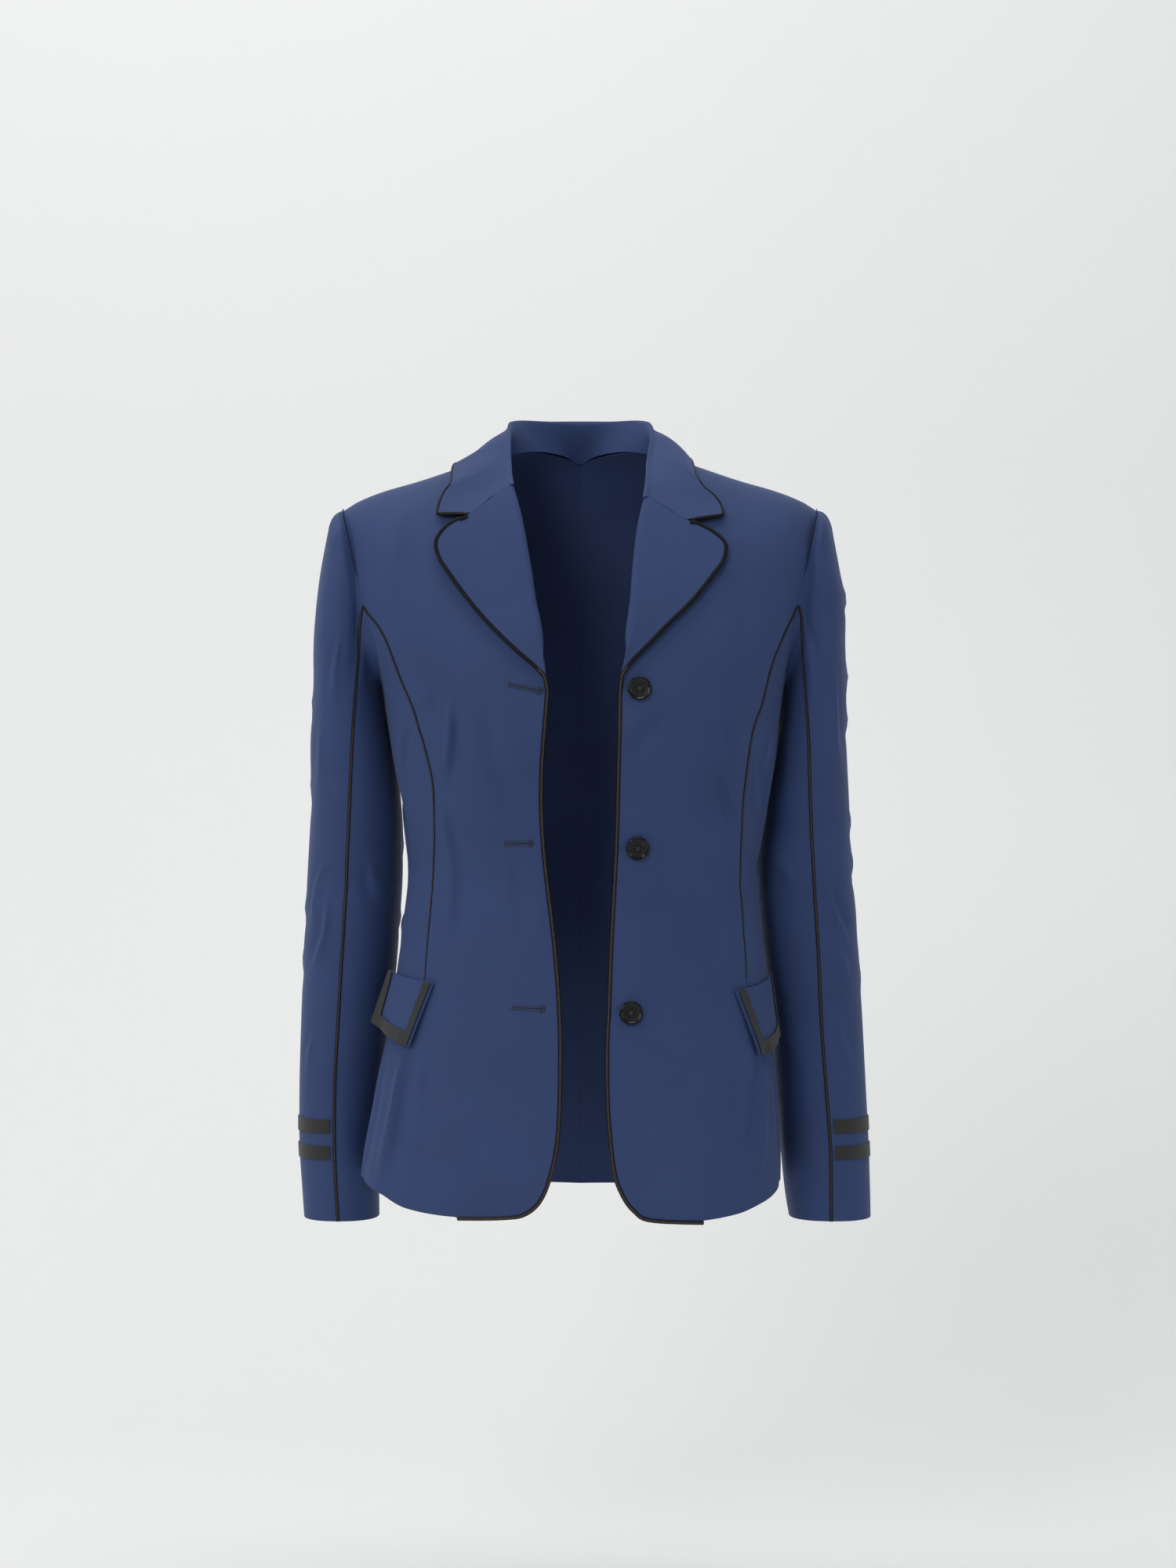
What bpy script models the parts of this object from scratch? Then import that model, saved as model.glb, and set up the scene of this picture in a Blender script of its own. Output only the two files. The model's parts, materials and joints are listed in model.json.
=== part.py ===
# Riding jacket: a three-button notch-lapel jacket, worn open, as hollow cloth walls.
# Lengths are in millimetres until a mesh is made. +X is the wearer's left, -Y the front, +Z up.
# Side -1 is the -X half with the buttonholes, side 1 the +X half with the buttons.

import math

import bmesh
import bpy
import numpy as np

METRES = 0.001
WALL = 1.8
LAPEL_WALL = 1.6
SEAM_GAP = 0.3
CAP_SEAM_GAP = 0.9
TURN = 2 * math.pi

# Levels and widths of the cut
YOKE_Z = -130.0
YOKE_RISE = 100.0
SHOULDER_HALF = 205.5
NECK_HALF = 75.0
BACK_NECK_HEIGHT = 66.0
UNDERARM_DROP = 67.0
ARM_FRONT_SWEEP = math.radians(29)
ARM_BACK_SWEEP = math.radians(33)
ARMHOLE_SPREAD = 0.72
ROLL_CLEARANCE = 1.4
ROLL_RISE = 5.2
ROLL_OUT = 4.4
CUFF_Z = -661.0
BACK_SEAM_ANGLE = math.radians(250)
SLEEVE_SQUARE = 2.25
# Share of the folds' depth left where the sleeve turns from its front to its back
OUTLINE_FOLDS = 0.4
# Lines down the skirt: angle round the body of each at the pocket or the hem, and the pocket's height
POCKET_SIDE = (96, -447.0)
HEM_PRINCESS_ANGLE = 56
HEM_SIDE_ANGLE = 97
HEM_BACK_SEAM_ANGLE = 136
BACK_WAIST_Z = -455.0
# The hidden seam between side and back: angle round the body and z
BACK_SEAM = ((133, -185), (134, -260), (137, -340), (137, -400), (136, -447))

# Where the stretches of the front edge end: armhole foot, pocket, start and end of the rounded corner
FRONT_EDGE_LEVELS = (-112.0, -452.0, -592.0)
FRONT_CORNER_END = 64.0
# The lapel joins the front edge down to this height below the yoke line
LAPEL_FOOT = -62.0
# How far the lapel stands off the body at its edge and halfway out, at the gorge and at the top button
LAPEL_EDGE_LIFT = (6.0, 4.2)
LAPEL_MIDDLE_LIFT = (6.5, 4.8)
# How far the sleeve cap drops from the armhole seam: at the shoulder, at the notch and under the arm
CAP_DROP = (16, 42, 26)

# Piping, ribbon and buttons
PIPING_RADIUS = 1.4
EDGE_PIPING_RADIUS = 0.9
CORD_GAP = 0.45
FRONT_PIPING_START = -68.0
PIPING_WIDTH = 3.2
PIPING_RISE = 2.0
GORGE_CLEARANCE = 3.8
GORGE_FADE = 2
GORGE_LIFT = 1.9
NOTCH_START = 0.5
RIBBON_WALL = 0.9
FLAP_RIBBON = 11.0
CUFF_RIBBON = 12.0
BUTTON_HOLE_RADIUS = 1.0
BUTTON_HOLE_SPREAD = 2.6
BUTTON_SEAT = 0.5

# Counts of cells along each stretch of the grid
GORGE_CELLS = 5
SHOULDER_CELLS = 5
BACK_NECK_CELLS = 5
ARMHOLE_ROWS = 6
SIDE_FRONT_CELLS = 4
SIDE_BACK_CELLS = 4
UPPER_ROWS = 11
SKIRT_ROWS = 8
CORNER_ROWS = 4
CAP_ROWS = 4
SLEEVE_ROWS = 12
LAPEL_ROWS = 14
LAPEL_CELLS = 5
ROLL_STEPS = 4
COLLAR_NOTCH_CELLS = 3
CORD_SIDES = 5
BUTTON_STEPS = 16
DRILL_SIDES = 6

BLUE = (0.042, 0.062, 0.150)
BLACK = (0.012, 0.012, 0.012)
RIBBON_BLACK = (0.016, 0.016, 0.015)
BUTTON_BLACK = (0.008, 0.008, 0.009)


def table(names, *rows):
    return dict(zip(names.split(), zip(*rows)))


# Half widths of the body at each height, its widest line, and how far it comes forward and back
BODY = table(
    "z left right side_y front back square",
    (-670, 193, 170, -36, -113, 108, 2.3),
    (-620, 187, 171.5, -33, -112, 110, 2.3),
    (-560, 176, 168.5, -27, -109, 107, 2.3),
    (-500, 166, 164, -21, -104, 98, 2.3),
    (-440, 157.5, 160.5, -17, -99, 85, 2.3),
    (-400, 152.5, 155.5, -15, -97, 78, 2.3),
    (-355, 148, 153.5, -14, -98, 76, 2.3),
    (-310, 151.5, 160.5, -12, -105, 81, 2.35),
    (-260, 161.5, 169, -8, -114, 91, 2.45),
    (-225, 167, 173, -3, -118, 97, 2.6),
    (-195, 171.5, 177, 2, -117, 101, 2.9),
    (-160, 180, 183.5, 4, -111, 103, 3.4),
    (-130, 187.5, 190, 5, -103, 103, 3.9),
    (-100, 193, 195, 6, -95, 100, 4.2),
)
# The shoulder line, and its run on to the back of the neck
RIDGE = table(
    "x y z",
    (0, 50, 20),
    (40, 24, 13),
    (75, 6, 2),
    (107, 6, -9),
    (136, 6, -19),
    (168, 6, -28.5),
    (190, 6, -37),
    (205.5, 6, -45),
    (215, 6, -50),
)
HEM = table(
    "angle left right",
    (0, -646, -650),
    (31, -646, -650),
    (48, -640, -645),
    (61, -629, -637),
    (90, -618, -623),
    (120, -625, -629),
    (150, -636, -638),
    (180, -640, -640),
)
PRINCESS = table(
    "z left right",
    (-455, 132.5, 141.5),
    (-417, 129.7, 140.0),
    (-389, 127.1, 138.2),
    (-358, 124.8, 136.5),
    (-329, 123.6, 137.3),
    (-307, 123.7, 137.9),
    (-279, 125.0, 140.5),
    (-251, 131.5, 144.0),
    (-232, 137.0, 148.0),
    (-215, 142.5, 154.3),
    (-197, 150.5, 158.7),
    (-179, 157.5, 163.6),
    (-161, 164.5, 171.0),
    (-146, 174.0, 178.0),
    (-130, 183.0, 185.4),
)
# Front edge of each front panel, from the end of the collar seam to the end of the piping
FRONT_EDGE = {
    -1: table(
        "x z",
        (59.7, -30),
        (51.7, -59.5),
        (45.1, -95),
        (39.5, -126),
        (32.4, -166.6),
        (28.5, -197),
        (33.6, -272),
        (32.4, -335),
        (23.2, -416),
        (19, -470),
        (18, -512),
        (19.2, -568),
        (23.8, -601),
        (33, -628),
        (46, -641),
        (64, -644.4),
        (103, -645.5),
    ),
    1: table(
        "x z",
        (57, -41.5),
        (51.5, -66),
        (47.8, -95),
        (44.5, -131),
        (37.6, -183),
        (35.4, -200),
        (34.4, -248),
        (32.2, -335),
        (28, -416),
        (26, -470),
        (24.3, -510),
        (25.4, -560),
        (30, -605),
        (37, -626),
        (47, -639.5),
        (60, -646.5),
        (104, -649.5),
    ),
}
# Outer edge of each lapel, from the notch round its corner to the top button
LAPEL_EDGE = {
    -1: table(
        "x z",
        (90.5, -56),
        (97.5, -59.5),
        (104.5, -63.2),
        (110.8, -67.4),
        (116.5, -73.2),
        (119.6, -80.5),
        (119, -88),
        (115, -96),
        (107.5, -107),
        (97, -121.5),
        (83, -139),
        (67, -156),
        (51, -171),
        (36, -184),
        (28.5, -192),
    ),
    1: table(
        "x z",
        (88.5, -61.5),
        (96, -64.8),
        (104, -68.6),
        (112, -73.2),
        (119, -79.3),
        (121.8, -86),
        (119.6, -94),
        (110, -107.5),
        (92.5, -129),
        (74, -147),
        (58.5, -163),
        (46, -175.5),
        (38, -184.5),
        (34, -191),
    ),
}
# Sections of the collar from the gorge seam (0) to the centre back (1): its fold line, then its outer edge
COLLAR = {
    -1: table(
        "s fold_x fold_y fold_z edge_x edge_z behind lift dip bulge",
        (0.0, 58.5, -66, -28, 119.5, -55, 0, 4.8, 6, 0.5),
        (0.11, 59.5, -56, -22, 117.5, -44, 0, 3.8, 3, 1.2),
        (0.22, 60.2, -45, -13, 113, -34.5, 0, 4.0, 2, 2.2),
        (0.33, 60.8, -30, -2, 107, -27, 0, 4.6, 1, 3.2),
        (0.5, 61.5, -2, 18, 97, -12, 0, 3.8, 0, 3.0),
        (0.64, 61.5, 21, 30, 82, -15, 1, 5.2, 0, 3.4),
        (0.76, 57.5, 40, 35.5, 64, -15, 1, 4.2, 0, 3.4),
        (0.88, 36, 57, 36.5, 36, -12, 1, 2.6, 0, 3.4),
        (1.0, 0, 64, 37, 0, -10, 1, 2.6, 0, 3.4),
    ),
    1: table(
        "s fold_x fold_y fold_z edge_x edge_z behind lift dip bulge",
        (0.0, 55.8, -74, -39, 120, -56, 0, 4.8, 6, 0.5),
        (0.11, 57, -62, -29, 117.5, -46.5, 0, 4.0, 3, 2.0),
        (0.22, 57.8, -48, -17, 111, -38.5, 0, 4.6, 2, 3.2),
        (0.33, 58.4, -32, -5, 101.5, -30.5, 0, 4.8, 1, 4.2),
        (0.5, 62.2, -2, 18.2, 91.5, -11.2, 0, 4.4, 0, 4.5),
        (0.64, 61.5, 21, 30, 79, -15, 1, 5.2, 0, 4.0),
        (0.76, 54.5, 40, 35.5, 62, -15, 1, 4.2, 0, 3.4),
        (0.88, 35, 57, 36.5, 35, -12, 1, 2.6, 0, 3.4),
        (1.0, 0, 64, 37, 0, -10, 1, 2.6, 0, 3.4),
    ),
}
# Each sleeve's outer and inner edge and front seam as seen from the front, and its depth
SLEEVE = {
    -1: table(
        "z outer inner seam middle depth",
        (-670, 241.5, 176.5, 209, 41, 48),
        (-640, 243.8, 177, 211, 43, 49),
        (-600, 246.5, 178.5, 212.8, 45, 50),
        (-545, 246.7, 173, 212.6, 46, 52),
        (-493, 245.2, 167, 209.8, 44, 53),
        (-443, 243, 161.5, 206.5, 40, 55),
        (-396, 241, 158, 203.5, 38, 56),
        (-347, 238, 155, 200.8, 34, 57),
        (-296, 235, 157, 198, 28, 59),
        (-247, 235, 164, 195.2, 20, 61),
        (-200, 231.8, 172.5, 191.8, 12, 61),
        (-160, 231.3, 176, 188, 8, 60),
        (-126, 228.6, 176, 184, 6, 59),
        (-97, 224.8, 176, 182, 6, 58),
        (-60, 217.8, 176, 180, 6, 50),
        (-45, 214, 176, 180, 6, 45),
    ),
    1: table(
        "z outer inner seam middle depth",
        (-670, 255, 185, 217.6, 41, 48),
        (-640, 254.5, 180, 217.4, 43, 49),
        (-600, 253.5, 176, 217, 45, 50),
        (-545, 250.8, 171, 213, 46, 52),
        (-493, 248, 167, 209, 44, 53),
        (-443, 245, 161.5, 206.5, 40, 55),
        (-396, 241.8, 156, 203.8, 38, 56),
        (-347, 237.5, 154, 200.6, 34, 57),
        (-296, 234.8, 162, 197.8, 28, 59),
        (-247, 232, 171.5, 195.8, 20, 61),
        (-200, 231.5, 178, 193, 12, 61),
        (-160, 230, 180, 189.5, 8, 60),
        (-126, 230, 180, 186.4, 6, 59),
        (-97, 225, 180, 184, 6, 58),
        (-60, 218, 180, 182, 6, 50),
        (-45, 214, 180, 182, 6, 45),
    ),
}
# Soft folds across each sleeve: middle of the fold, its slant in z for a full turn, half sizes and depth
SLEEVE_FOLDS = {
    -1: table(
        "z angle slant across along depth",
        (-268, 110, 20, 60, 9, 1.6),
        (-330, 130, -40, 55, 11, 2.2),
        (-372, 80, 60, 60, 13, 2.6),
        (-405, 30, -50, 50, 12, 1.6),
        (-350, 250, 30, 60, 14, 2.0),
        (-470, 150, 40, 60, 16, 1.6),
    ),
    1: table(
        "z angle slant across along depth",
        (-250, 100, -20, 60, 9, 1.4),
        (-322, 120, 30, 55, 11, 2.0),
        (-380, 70, -60, 60, 13, 2.4),
        (-412, 40, 40, 50, 12, 1.6),
        (-360, 255, -30, 60, 14, 2.0),
        (-480, 140, -40, 60, 16, 1.6),
    ),
}
# Soft folds in the body: middle, half sizes in degrees and millimetres, and depth
BODY_FOLDS = {
    -1: table(
        "angle z lean across along depth",
        (41, -262, -0.9, 7, 30, 2.2),
        (70, -350, 0.6, 14, 12, 1.8),
        (30, -372, 0.3, 10, 14, 1.4),
        (128, -352, -0.4, 16, 12, 2.0),
        (152, -385, 0.2, 10, 10, 1.6),
        (140, -210, 0.8, 10, 40, 1.8),
    ),
    1: table(
        "angle z lean across along depth",
        (44, -300, -1.0, 7, 26, 2.2),
        (72, -362, 0.5, 14, 12, 1.8),
        (34, -385, 0.3, 10, 14, 1.4),
        (130, -366, -0.4, 16, 12, 2.0),
        (150, -345, 0.2, 10, 10, 1.6),
        (142, -220, 0.8, 10, 40, 1.8),
    ),
}
# Corners of each pocket flap: angle round the body, height, stand-off, and flare of the rear edge
FLAP = {
    -1: table(
        "corner angle z lift flare",
        ("top_front", 47.5, -450.5, 2.6, 0),
        ("top_rear", 86, -442.5, 2.6, 3.5),
        ("low_front", 55.0, -506, 5.5, 0),
        ("low_rear", 88, -489.5, 6.0, 9.5),
    ),
    1: table(
        "corner angle z lift flare",
        ("top_front", 50.5, -457.5, 2.6, 0),
        ("top_rear", 92, -445, 2.6, 0.5),
        ("low_front", 61.3, -514.5, 5.5, 0),
        ("low_rear", 96, -497, 6.0, 1.5),
    ),
}
FLARE_START = 0.6
FLAP_ROWS = 5
FLAP_CELLS = 8
BUTTONS = table("x z", (49.7, -202.5), (48.3, -336.2), (42.7, -474.8))
BUTTON_PROFILE = table(
    "radius height",
    (0, 0),
    (8.6, 0),
    (9.8, 1.3),
    (10, 2.4),
    (9.5, 3.3),
    (8.6, 3.5),
    (7.9, 3.2),
    (7.0, 2.4),
    (0, 2.2),
)
CUFF_RIBBONS = (-573.0, -596.0)


def read(values, name, at, key="z"):
    """Value of a column at this key, on a smooth curve through the rows."""
    keys, column = values[key], values[name]
    last = len(keys) - 1
    at = min(max(at, keys[0]), keys[last])
    i = 0
    while i < last - 1 and at > keys[i + 1]:
        i += 1
    span = keys[i + 1] - keys[i]
    t = (at - keys[i]) / span

    def slope(k):
        low, high = max(k - 1, 0), min(k + 1, last)
        return (column[high] - column[low]) / (keys[high] - keys[low])

    start, end = column[i], column[i + 1]
    rise_in = slope(i) * span
    rise_out = slope(i + 1) * span
    value = (2 * t**3 - 3 * t**2 + 1) * start + (3 * t**2 - 2 * t**3) * end
    return value + (t**3 - 2 * t**2 + t) * rise_in + (t**3 - t**2) * rise_out


def side_name(side):
    return "left" if side < 0 else "right"


def unit(vector):
    return vector / np.linalg.norm(vector)


def blend(a, b, share):
    return a + (b - a) * share


def unit_arc(angle, square):
    """Point on a squared-off unit circle, seen at this angle from its centre."""
    across, along = math.sin(angle), math.cos(angle)
    size = (abs(across) ** square + abs(along) ** square) ** (-1 / square)
    return across * size, along * size


def soft(distance):
    return math.exp(-distance * distance)


def body_fold(side, angle, z):
    """How deep the folds of the body are at this place."""
    folds = BODY_FOLDS[side]
    total = 0.0
    for row in range(len(folds["z"])):
        turn = math.degrees(angle) - folds["angle"][row]
        drop = z - folds["z"][row] - folds["lean"][row] * turn
        size = soft(turn / folds["across"][row]) * soft(drop / folds["along"][row])
        total += folds["depth"][row] * size
    return total


def ring_point(side, angle, z):
    across, along = unit_arc(angle, read(BODY, "square", z))
    half = read(BODY, side_name(side), z)
    middle = read(BODY, "side_y", z)
    end = read(BODY, "front" if along > 0 else "back", z)
    fold = 1 - body_fold(side, angle, z) / half
    return np.array((side * half * across * fold, middle + (end - middle) * abs(along) * fold, z))


def ridge_point(side, angle):
    across = unit_arc(angle, read(BODY, "square", YOKE_Z))[0] * SHOULDER_HALF
    y = read(RIDGE, "y", abs(across), "x")
    return np.array((side * across, y, read(RIDGE, "z", abs(across), "x")))


def ridge_angle(x):
    """Angle at which the shoulder line has this half width."""
    ratio = min(x / SHOULDER_HALF, 1.0)
    square = read(BODY, "square", YOKE_Z)
    return math.atan2(ratio, (1 - ratio**square) ** (1 / square))


def body_point(side, angle, height):
    """Point on the outside of the body: height is millimetres below the yoke line, or 0 to 100 above it."""
    if height <= 0:
        return ring_point(side, angle, YOKE_Z + height)
    rise = min(height / YOKE_RISE, 1.0)
    foot = ring_point(side, angle, YOKE_Z)
    slope = (foot - ring_point(side, angle, YOKE_Z - 4)) / 4
    top = ridge_point(side, angle)
    corner = foot + slope * (top[2] - foot[2])
    corner[2] = top[2]
    return (1 - rise) ** 2 * foot + 2 * rise * (1 - rise) * corner + rise**2 * top


def body_normal(side, angle, height):
    reach = 0.02
    high = min(height + 0.5, YOKE_RISE)
    low = high - 1
    level = min(height, YOKE_RISE - 3)
    around = body_point(side, angle + reach, level) - body_point(side, angle - reach, level)
    up = body_point(side, angle, high) - body_point(side, angle, low)
    return unit(np.cross(around, up) * side)


def spot(side, x, z, behind=False):
    """The angle and height at which the front, or the back, has this half width and this z."""
    half = read(BODY, side_name(side), z)
    ratio = min(abs(x) / half, 0.999)
    square = read(BODY, "square", z)
    angle = math.atan2(ratio, (1 - ratio**square) ** (1 / square))
    if behind:
        angle = math.pi - angle
    height = z - YOKE_Z
    if height > 0:
        height *= YOKE_RISE / (read(RIDGE, "z", abs(x), "x") - YOKE_Z)
    for _ in range(30):
        point = body_point(side, angle, height)
        miss = np.array((abs(x) - side * point[0], z - point[2]))
        if abs(miss).max() < 0.01:
            break
        around = body_point(side, angle + 0.005, height) - body_point(side, angle - 0.005, height)
        up = body_point(side, angle, height + 0.5) - body_point(side, angle, height - 0.5)
        slopes = np.array(((side * around[0] / 0.01, side * up[0]), (around[2] / 0.01, up[2])))
        step = np.linalg.lstsq(slopes, miss, rcond=1e-3)[0]
        angle += max(-0.1, min(0.1, step[0]))
        height = min(height + max(-15, min(15, step[1])), YOKE_RISE)
    return np.array((angle, height))


def armhole_spot(turn):
    """Spot on the armhole seam: turn 0 is the shoulder, then round by the front to the underarm."""
    quarter = math.pi / 2
    near = (turn + math.pi) % TURN - math.pi
    if 0 < abs(near) < quarter:
        turn = math.copysign(quarter * (abs(near) / quarter) ** ARMHOLE_SPREAD, near)
    sweep = ARM_FRONT_SWEEP if math.sin(turn) >= 0 else ARM_BACK_SWEEP
    drop = math.cos(turn)
    height = drop * (YOKE_RISE if drop > 0 else UNDERARM_DROP)
    return np.array((math.pi / 2 - sweep * math.sin(turn), height))


def smooth_line(points, count):
    """The curve through these points, as count + 1 points at even distances."""
    points = [np.array(point, float) for point in points]
    fine = []
    for i in range(len(points) - 1):
        a, b = points[i], points[i + 1]
        before = points[i - 1] if i else a
        after = points[i + 2] if i + 2 < len(points) else b
        for step in range(12):
            t = step / 12
            start = (b - before) / 2
            end = (after - a) / 2
            value = (2 * t**3 - 3 * t**2 + 1) * a + (3 * t**2 - 2 * t**3) * b
            fine.append(value + (t**3 - 2 * t**2 + t) * start + (t**3 - t**2) * end)
    fine.append(points[-1])
    return even(fine, count)


def even(points, count):
    """Points at even distances along a line of short steps."""
    points = np.array(points)
    steps = np.linalg.norm(np.diff(points, axis=0), axis=1)
    reached = np.concatenate(([0.0], np.cumsum(steps)))
    wanted = np.linspace(0, reached[-1], count + 1)
    return np.stack([np.interp(wanted, reached, points[:, k]) for k in range(points.shape[1])], axis=1)


def straight(a, b, count):
    return [blend(a, b, i / count) for i in range(count + 1)]


def join(*lines):
    """Lines that follow on from each other, as one."""
    whole = list(lines[0])
    for line in lines[1:]:
        whole += list(line)[1:]
    return whole


def fill(top, bottom, left, right):
    """Grid of spots between four edges: rows run from left to right, and bends of the ends fade inwards."""
    rows, columns = len(left) - 1, len(top) - 1
    grid = []
    for i in range(rows + 1):
        v = i / rows
        line = []
        for j in range(columns + 1):
            u = j / columns
            top_bend = top[j] - blend(top[0], top[-1], u)
            bottom_bend = bottom[j] - blend(bottom[0], bottom[-1], u)
            line.append(blend(left[i], right[i], u) + top_bend * (1 - v) ** 3 + bottom_bend * v**3)
        grid.append(line)
    return grid


def hem_line(side, start, end, count):
    angles = [blend(start, end, i / count) for i in range(count + 1)]
    return [np.array((a, read(HEM, side_name(side), math.degrees(a), "angle") - YOKE_Z)) for a in angles]


def armhole_line(start, end, count):
    return [armhole_spot(math.radians(blend(start, end, i / count))) for i in range(count + 1)]


def princess_line(side):
    """The piped seam from the front notch of the armhole to the pocket."""
    zs, xs = PRINCESS["z"], PRINCESS[side_name(side)]
    spots = [spot(side, x, z) for x, z in zip(xs[::-1], zs[::-1])]
    spots[0] = armhole_spot(math.pi / 2)
    return smooth_line(spots, UPPER_ROWS)


def front_edge_line(side):
    edge = FRONT_EDGE[side]
    points = smooth_line(list(zip(edge["x"], edge["z"])), 300)
    cuts = [0]
    cuts += [next(k for k, p in enumerate(points) if p[1] < level) for level in FRONT_EDGE_LEVELS]
    cuts.append(next(k for k, p in enumerate(points) if k > cuts[-1] and p[0] > FRONT_CORNER_END))
    cuts.append(len(points) - 1)
    counts = (ARMHOLE_ROWS, UPPER_ROWS, SKIRT_ROWS - CORNER_ROWS - 1, CORNER_ROWS, 1)
    parts = [even(points[a : b + 1], count) for a, b, count in zip(cuts, cuts[1:], counts)]
    return [spot(side, x, z) for x, z in join(*parts)]


def body_grid(side):
    """Spots of one half of the body: rows downwards, columns from the front edge to the centre back."""
    gorge = front_edge_line(side)[0]
    neck = np.array((ridge_angle(NECK_HALF), YOKE_RISE))
    back_neck = np.array((math.pi - neck[0], YOKE_RISE))
    nape = np.array((math.pi, BACK_NECK_HEIGHT))
    widths = np.linspace(NECK_HALF, SHOULDER_HALF, SHOULDER_CELLS + 1)
    shoulder_line = [np.array((ridge_angle(x), YOKE_RISE)) for x in widths]
    back_shoulder = [np.array((math.pi - place[0], YOKE_RISE)) for place in shoulder_line[::-1]]
    top_front = join(straight(gorge, neck, GORGE_CELLS), shoulder_line)
    top_back = join(back_shoulder, straight(back_neck, nape, BACK_NECK_CELLS))

    princess = princess_line(side)
    pocket_side = np.array((math.radians(POCKET_SIDE[0]), POCKET_SIDE[1] - YOKE_Z))
    hem_side_angle = math.radians(HEM_SIDE_ANGLE)
    low_princess = math.radians(HEM_PRINCESS_ANGLE)
    back_seam = smooth_line(
        [armhole_spot(1.5 * math.pi)] + [np.array((math.radians(a), z - YOKE_Z)) for a, z in BACK_SEAM],
        UPPER_ROWS,
    )
    back_hem_angle = math.radians(HEM_BACK_SEAM_ANGLE)
    front_edge = front_edge_line(side)

    front_hem = hem_line(side, front_edge[-1][0], low_princess, GORGE_CELLS + SHOULDER_CELLS)
    front_hem[0] = front_edge[-1]
    low_seam = straight(princess[-1], front_hem[-1], SKIRT_ROWS)
    front_right = join(armhole_line(0, 90, ARMHOLE_ROWS), princess, low_seam)
    front = fill(top_front, front_hem, front_edge, front_right)

    side_front_hem = hem_line(side, low_princess, hem_side_angle, SIDE_FRONT_CELLS)
    side_back_hem = hem_line(side, hem_side_angle, back_hem_angle, SIDE_BACK_CELLS)
    side_hem = join(side_front_hem, side_back_hem)
    side_left = join(princess, low_seam)
    side_right = join(back_seam, straight(back_seam[-1], side_hem[-1], SKIRT_ROWS))
    side_top = armhole_line(90, 270, SIDE_FRONT_CELLS + SIDE_BACK_CELLS)
    middle = fill(side_top, side_hem, side_left, side_right)
    for j in range(1, SIDE_FRONT_CELLS + SIDE_BACK_CELLS):
        if j < SIDE_FRONT_CELLS:
            line = blend(princess[-1], pocket_side, j / SIDE_FRONT_CELLS)
        else:
            line = blend(pocket_side, back_seam[-1], (j - SIDE_FRONT_CELLS) / SIDE_BACK_CELLS)
        settle_column(middle, j, line)

    back_hem = hem_line(side, back_hem_angle, math.pi, SHOULDER_CELLS + BACK_NECK_CELLS)
    back_yoke = np.array((math.pi, 0.0))
    back_waist = np.array((math.pi, BACK_WAIST_Z - YOKE_Z))
    centre = join(
        straight(nape, back_yoke, ARMHOLE_ROWS),
        straight(back_yoke, back_waist, UPPER_ROWS),
        straight(back_waist, back_hem[-1], SKIRT_ROWS),
    )
    back_left = join(armhole_line(360, 270, ARMHOLE_ROWS), side_right)
    back = fill(top_back, back_hem, back_left, centre)
    return front, middle, back


def settle_column(grid, column, at_pocket):
    """Moves a column of the side so that its pocket row lies at the given spot."""
    miss = at_pocket - grid[UPPER_ROWS][column]
    last = len(grid) - 1
    for i in range(1, last):
        if i <= UPPER_ROWS:
            share = i / UPPER_ROWS
        else:
            share = (last - i) / (last - UPPER_ROWS)
        grid[i][column] = grid[i][column] + miss * share * share * (3 - 2 * share)


class Sheet:
    """A grid of outside points with their outward directions, and the cells of it that a piece uses."""

    def __init__(self, points, normals):
        self.points = points
        self.normals = normals

    def wall(self, cells, thickness, gap=SEAM_GAP, centred=False, wide_rows=0):
        """Corners and faces of a closed wall under these cells, drawn back by half a gap at its edges.

        The first wide_rows rows are drawn back further, under the piping.
        """
        near = {}
        for i, j in cells:
            for corner in ((i, j), (i, j + 1), (i + 1, j), (i + 1, j + 1)):
                near.setdefault(corner, set()).add((i, j))
        order = {corner: k for k, corner in enumerate(sorted(near))}
        outer, inner = [], []
        for (i, j), around in sorted(near.items()):
            below = sum(cell[0] == i for cell in around)
            above = len(around) - below
            right = sum(cell[1] == j for cell in around)
            left = len(around) - right
            back = (CAP_SEAM_GAP if i < wide_rows else gap) / 2
            point = self.points[i][j] + self.pull(i, j, below - above, right - left) * back
            normal = self.normals[i][j]
            lift = thickness / 2 if centred else 0.0
            outer.append(point + normal * lift)
            inner.append(point + normal * (lift - thickness))
        count = len(order)
        faces = []
        edges = {}
        for i, j in cells:
            ring = [order[c] for c in ((i, j), (i + 1, j), (i + 1, j + 1), (i, j + 1))]
            faces.append(tuple(ring))
            faces.append(tuple(k + count for k in reversed(ring)))
            for a, b in zip(ring, ring[1:] + ring[:1]):
                if (b, a) in edges:
                    del edges[(b, a)]
                else:
                    edges[(a, b)] = True
        for a, b in edges:
            faces.append((b, a, a + count, b + count))
        return outer + inner, faces

    def pull(self, i, j, down, across):
        """Direction from an edge of a piece into it, at right angles to that edge."""
        points = self.points
        here = points[i][j]
        rows, columns = len(points) - 1, len(points[0]) - 1
        move = np.zeros(3)
        if down:
            near = points[i + (1 if down > 0 else -1)][j] - here
            along = unit(points[i][min(j + 1, columns)] - points[i][max(j - 1, 0)])
            move = move + unit(near - along * along.dot(near))
        if across:
            near = points[i][j + (1 if across > 0 else -1)] - here
            along = unit(points[min(i + 1, rows)][j] - points[max(i - 1, 0)][j])
            move = move + unit(near - along * along.dot(near))
        return move


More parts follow.
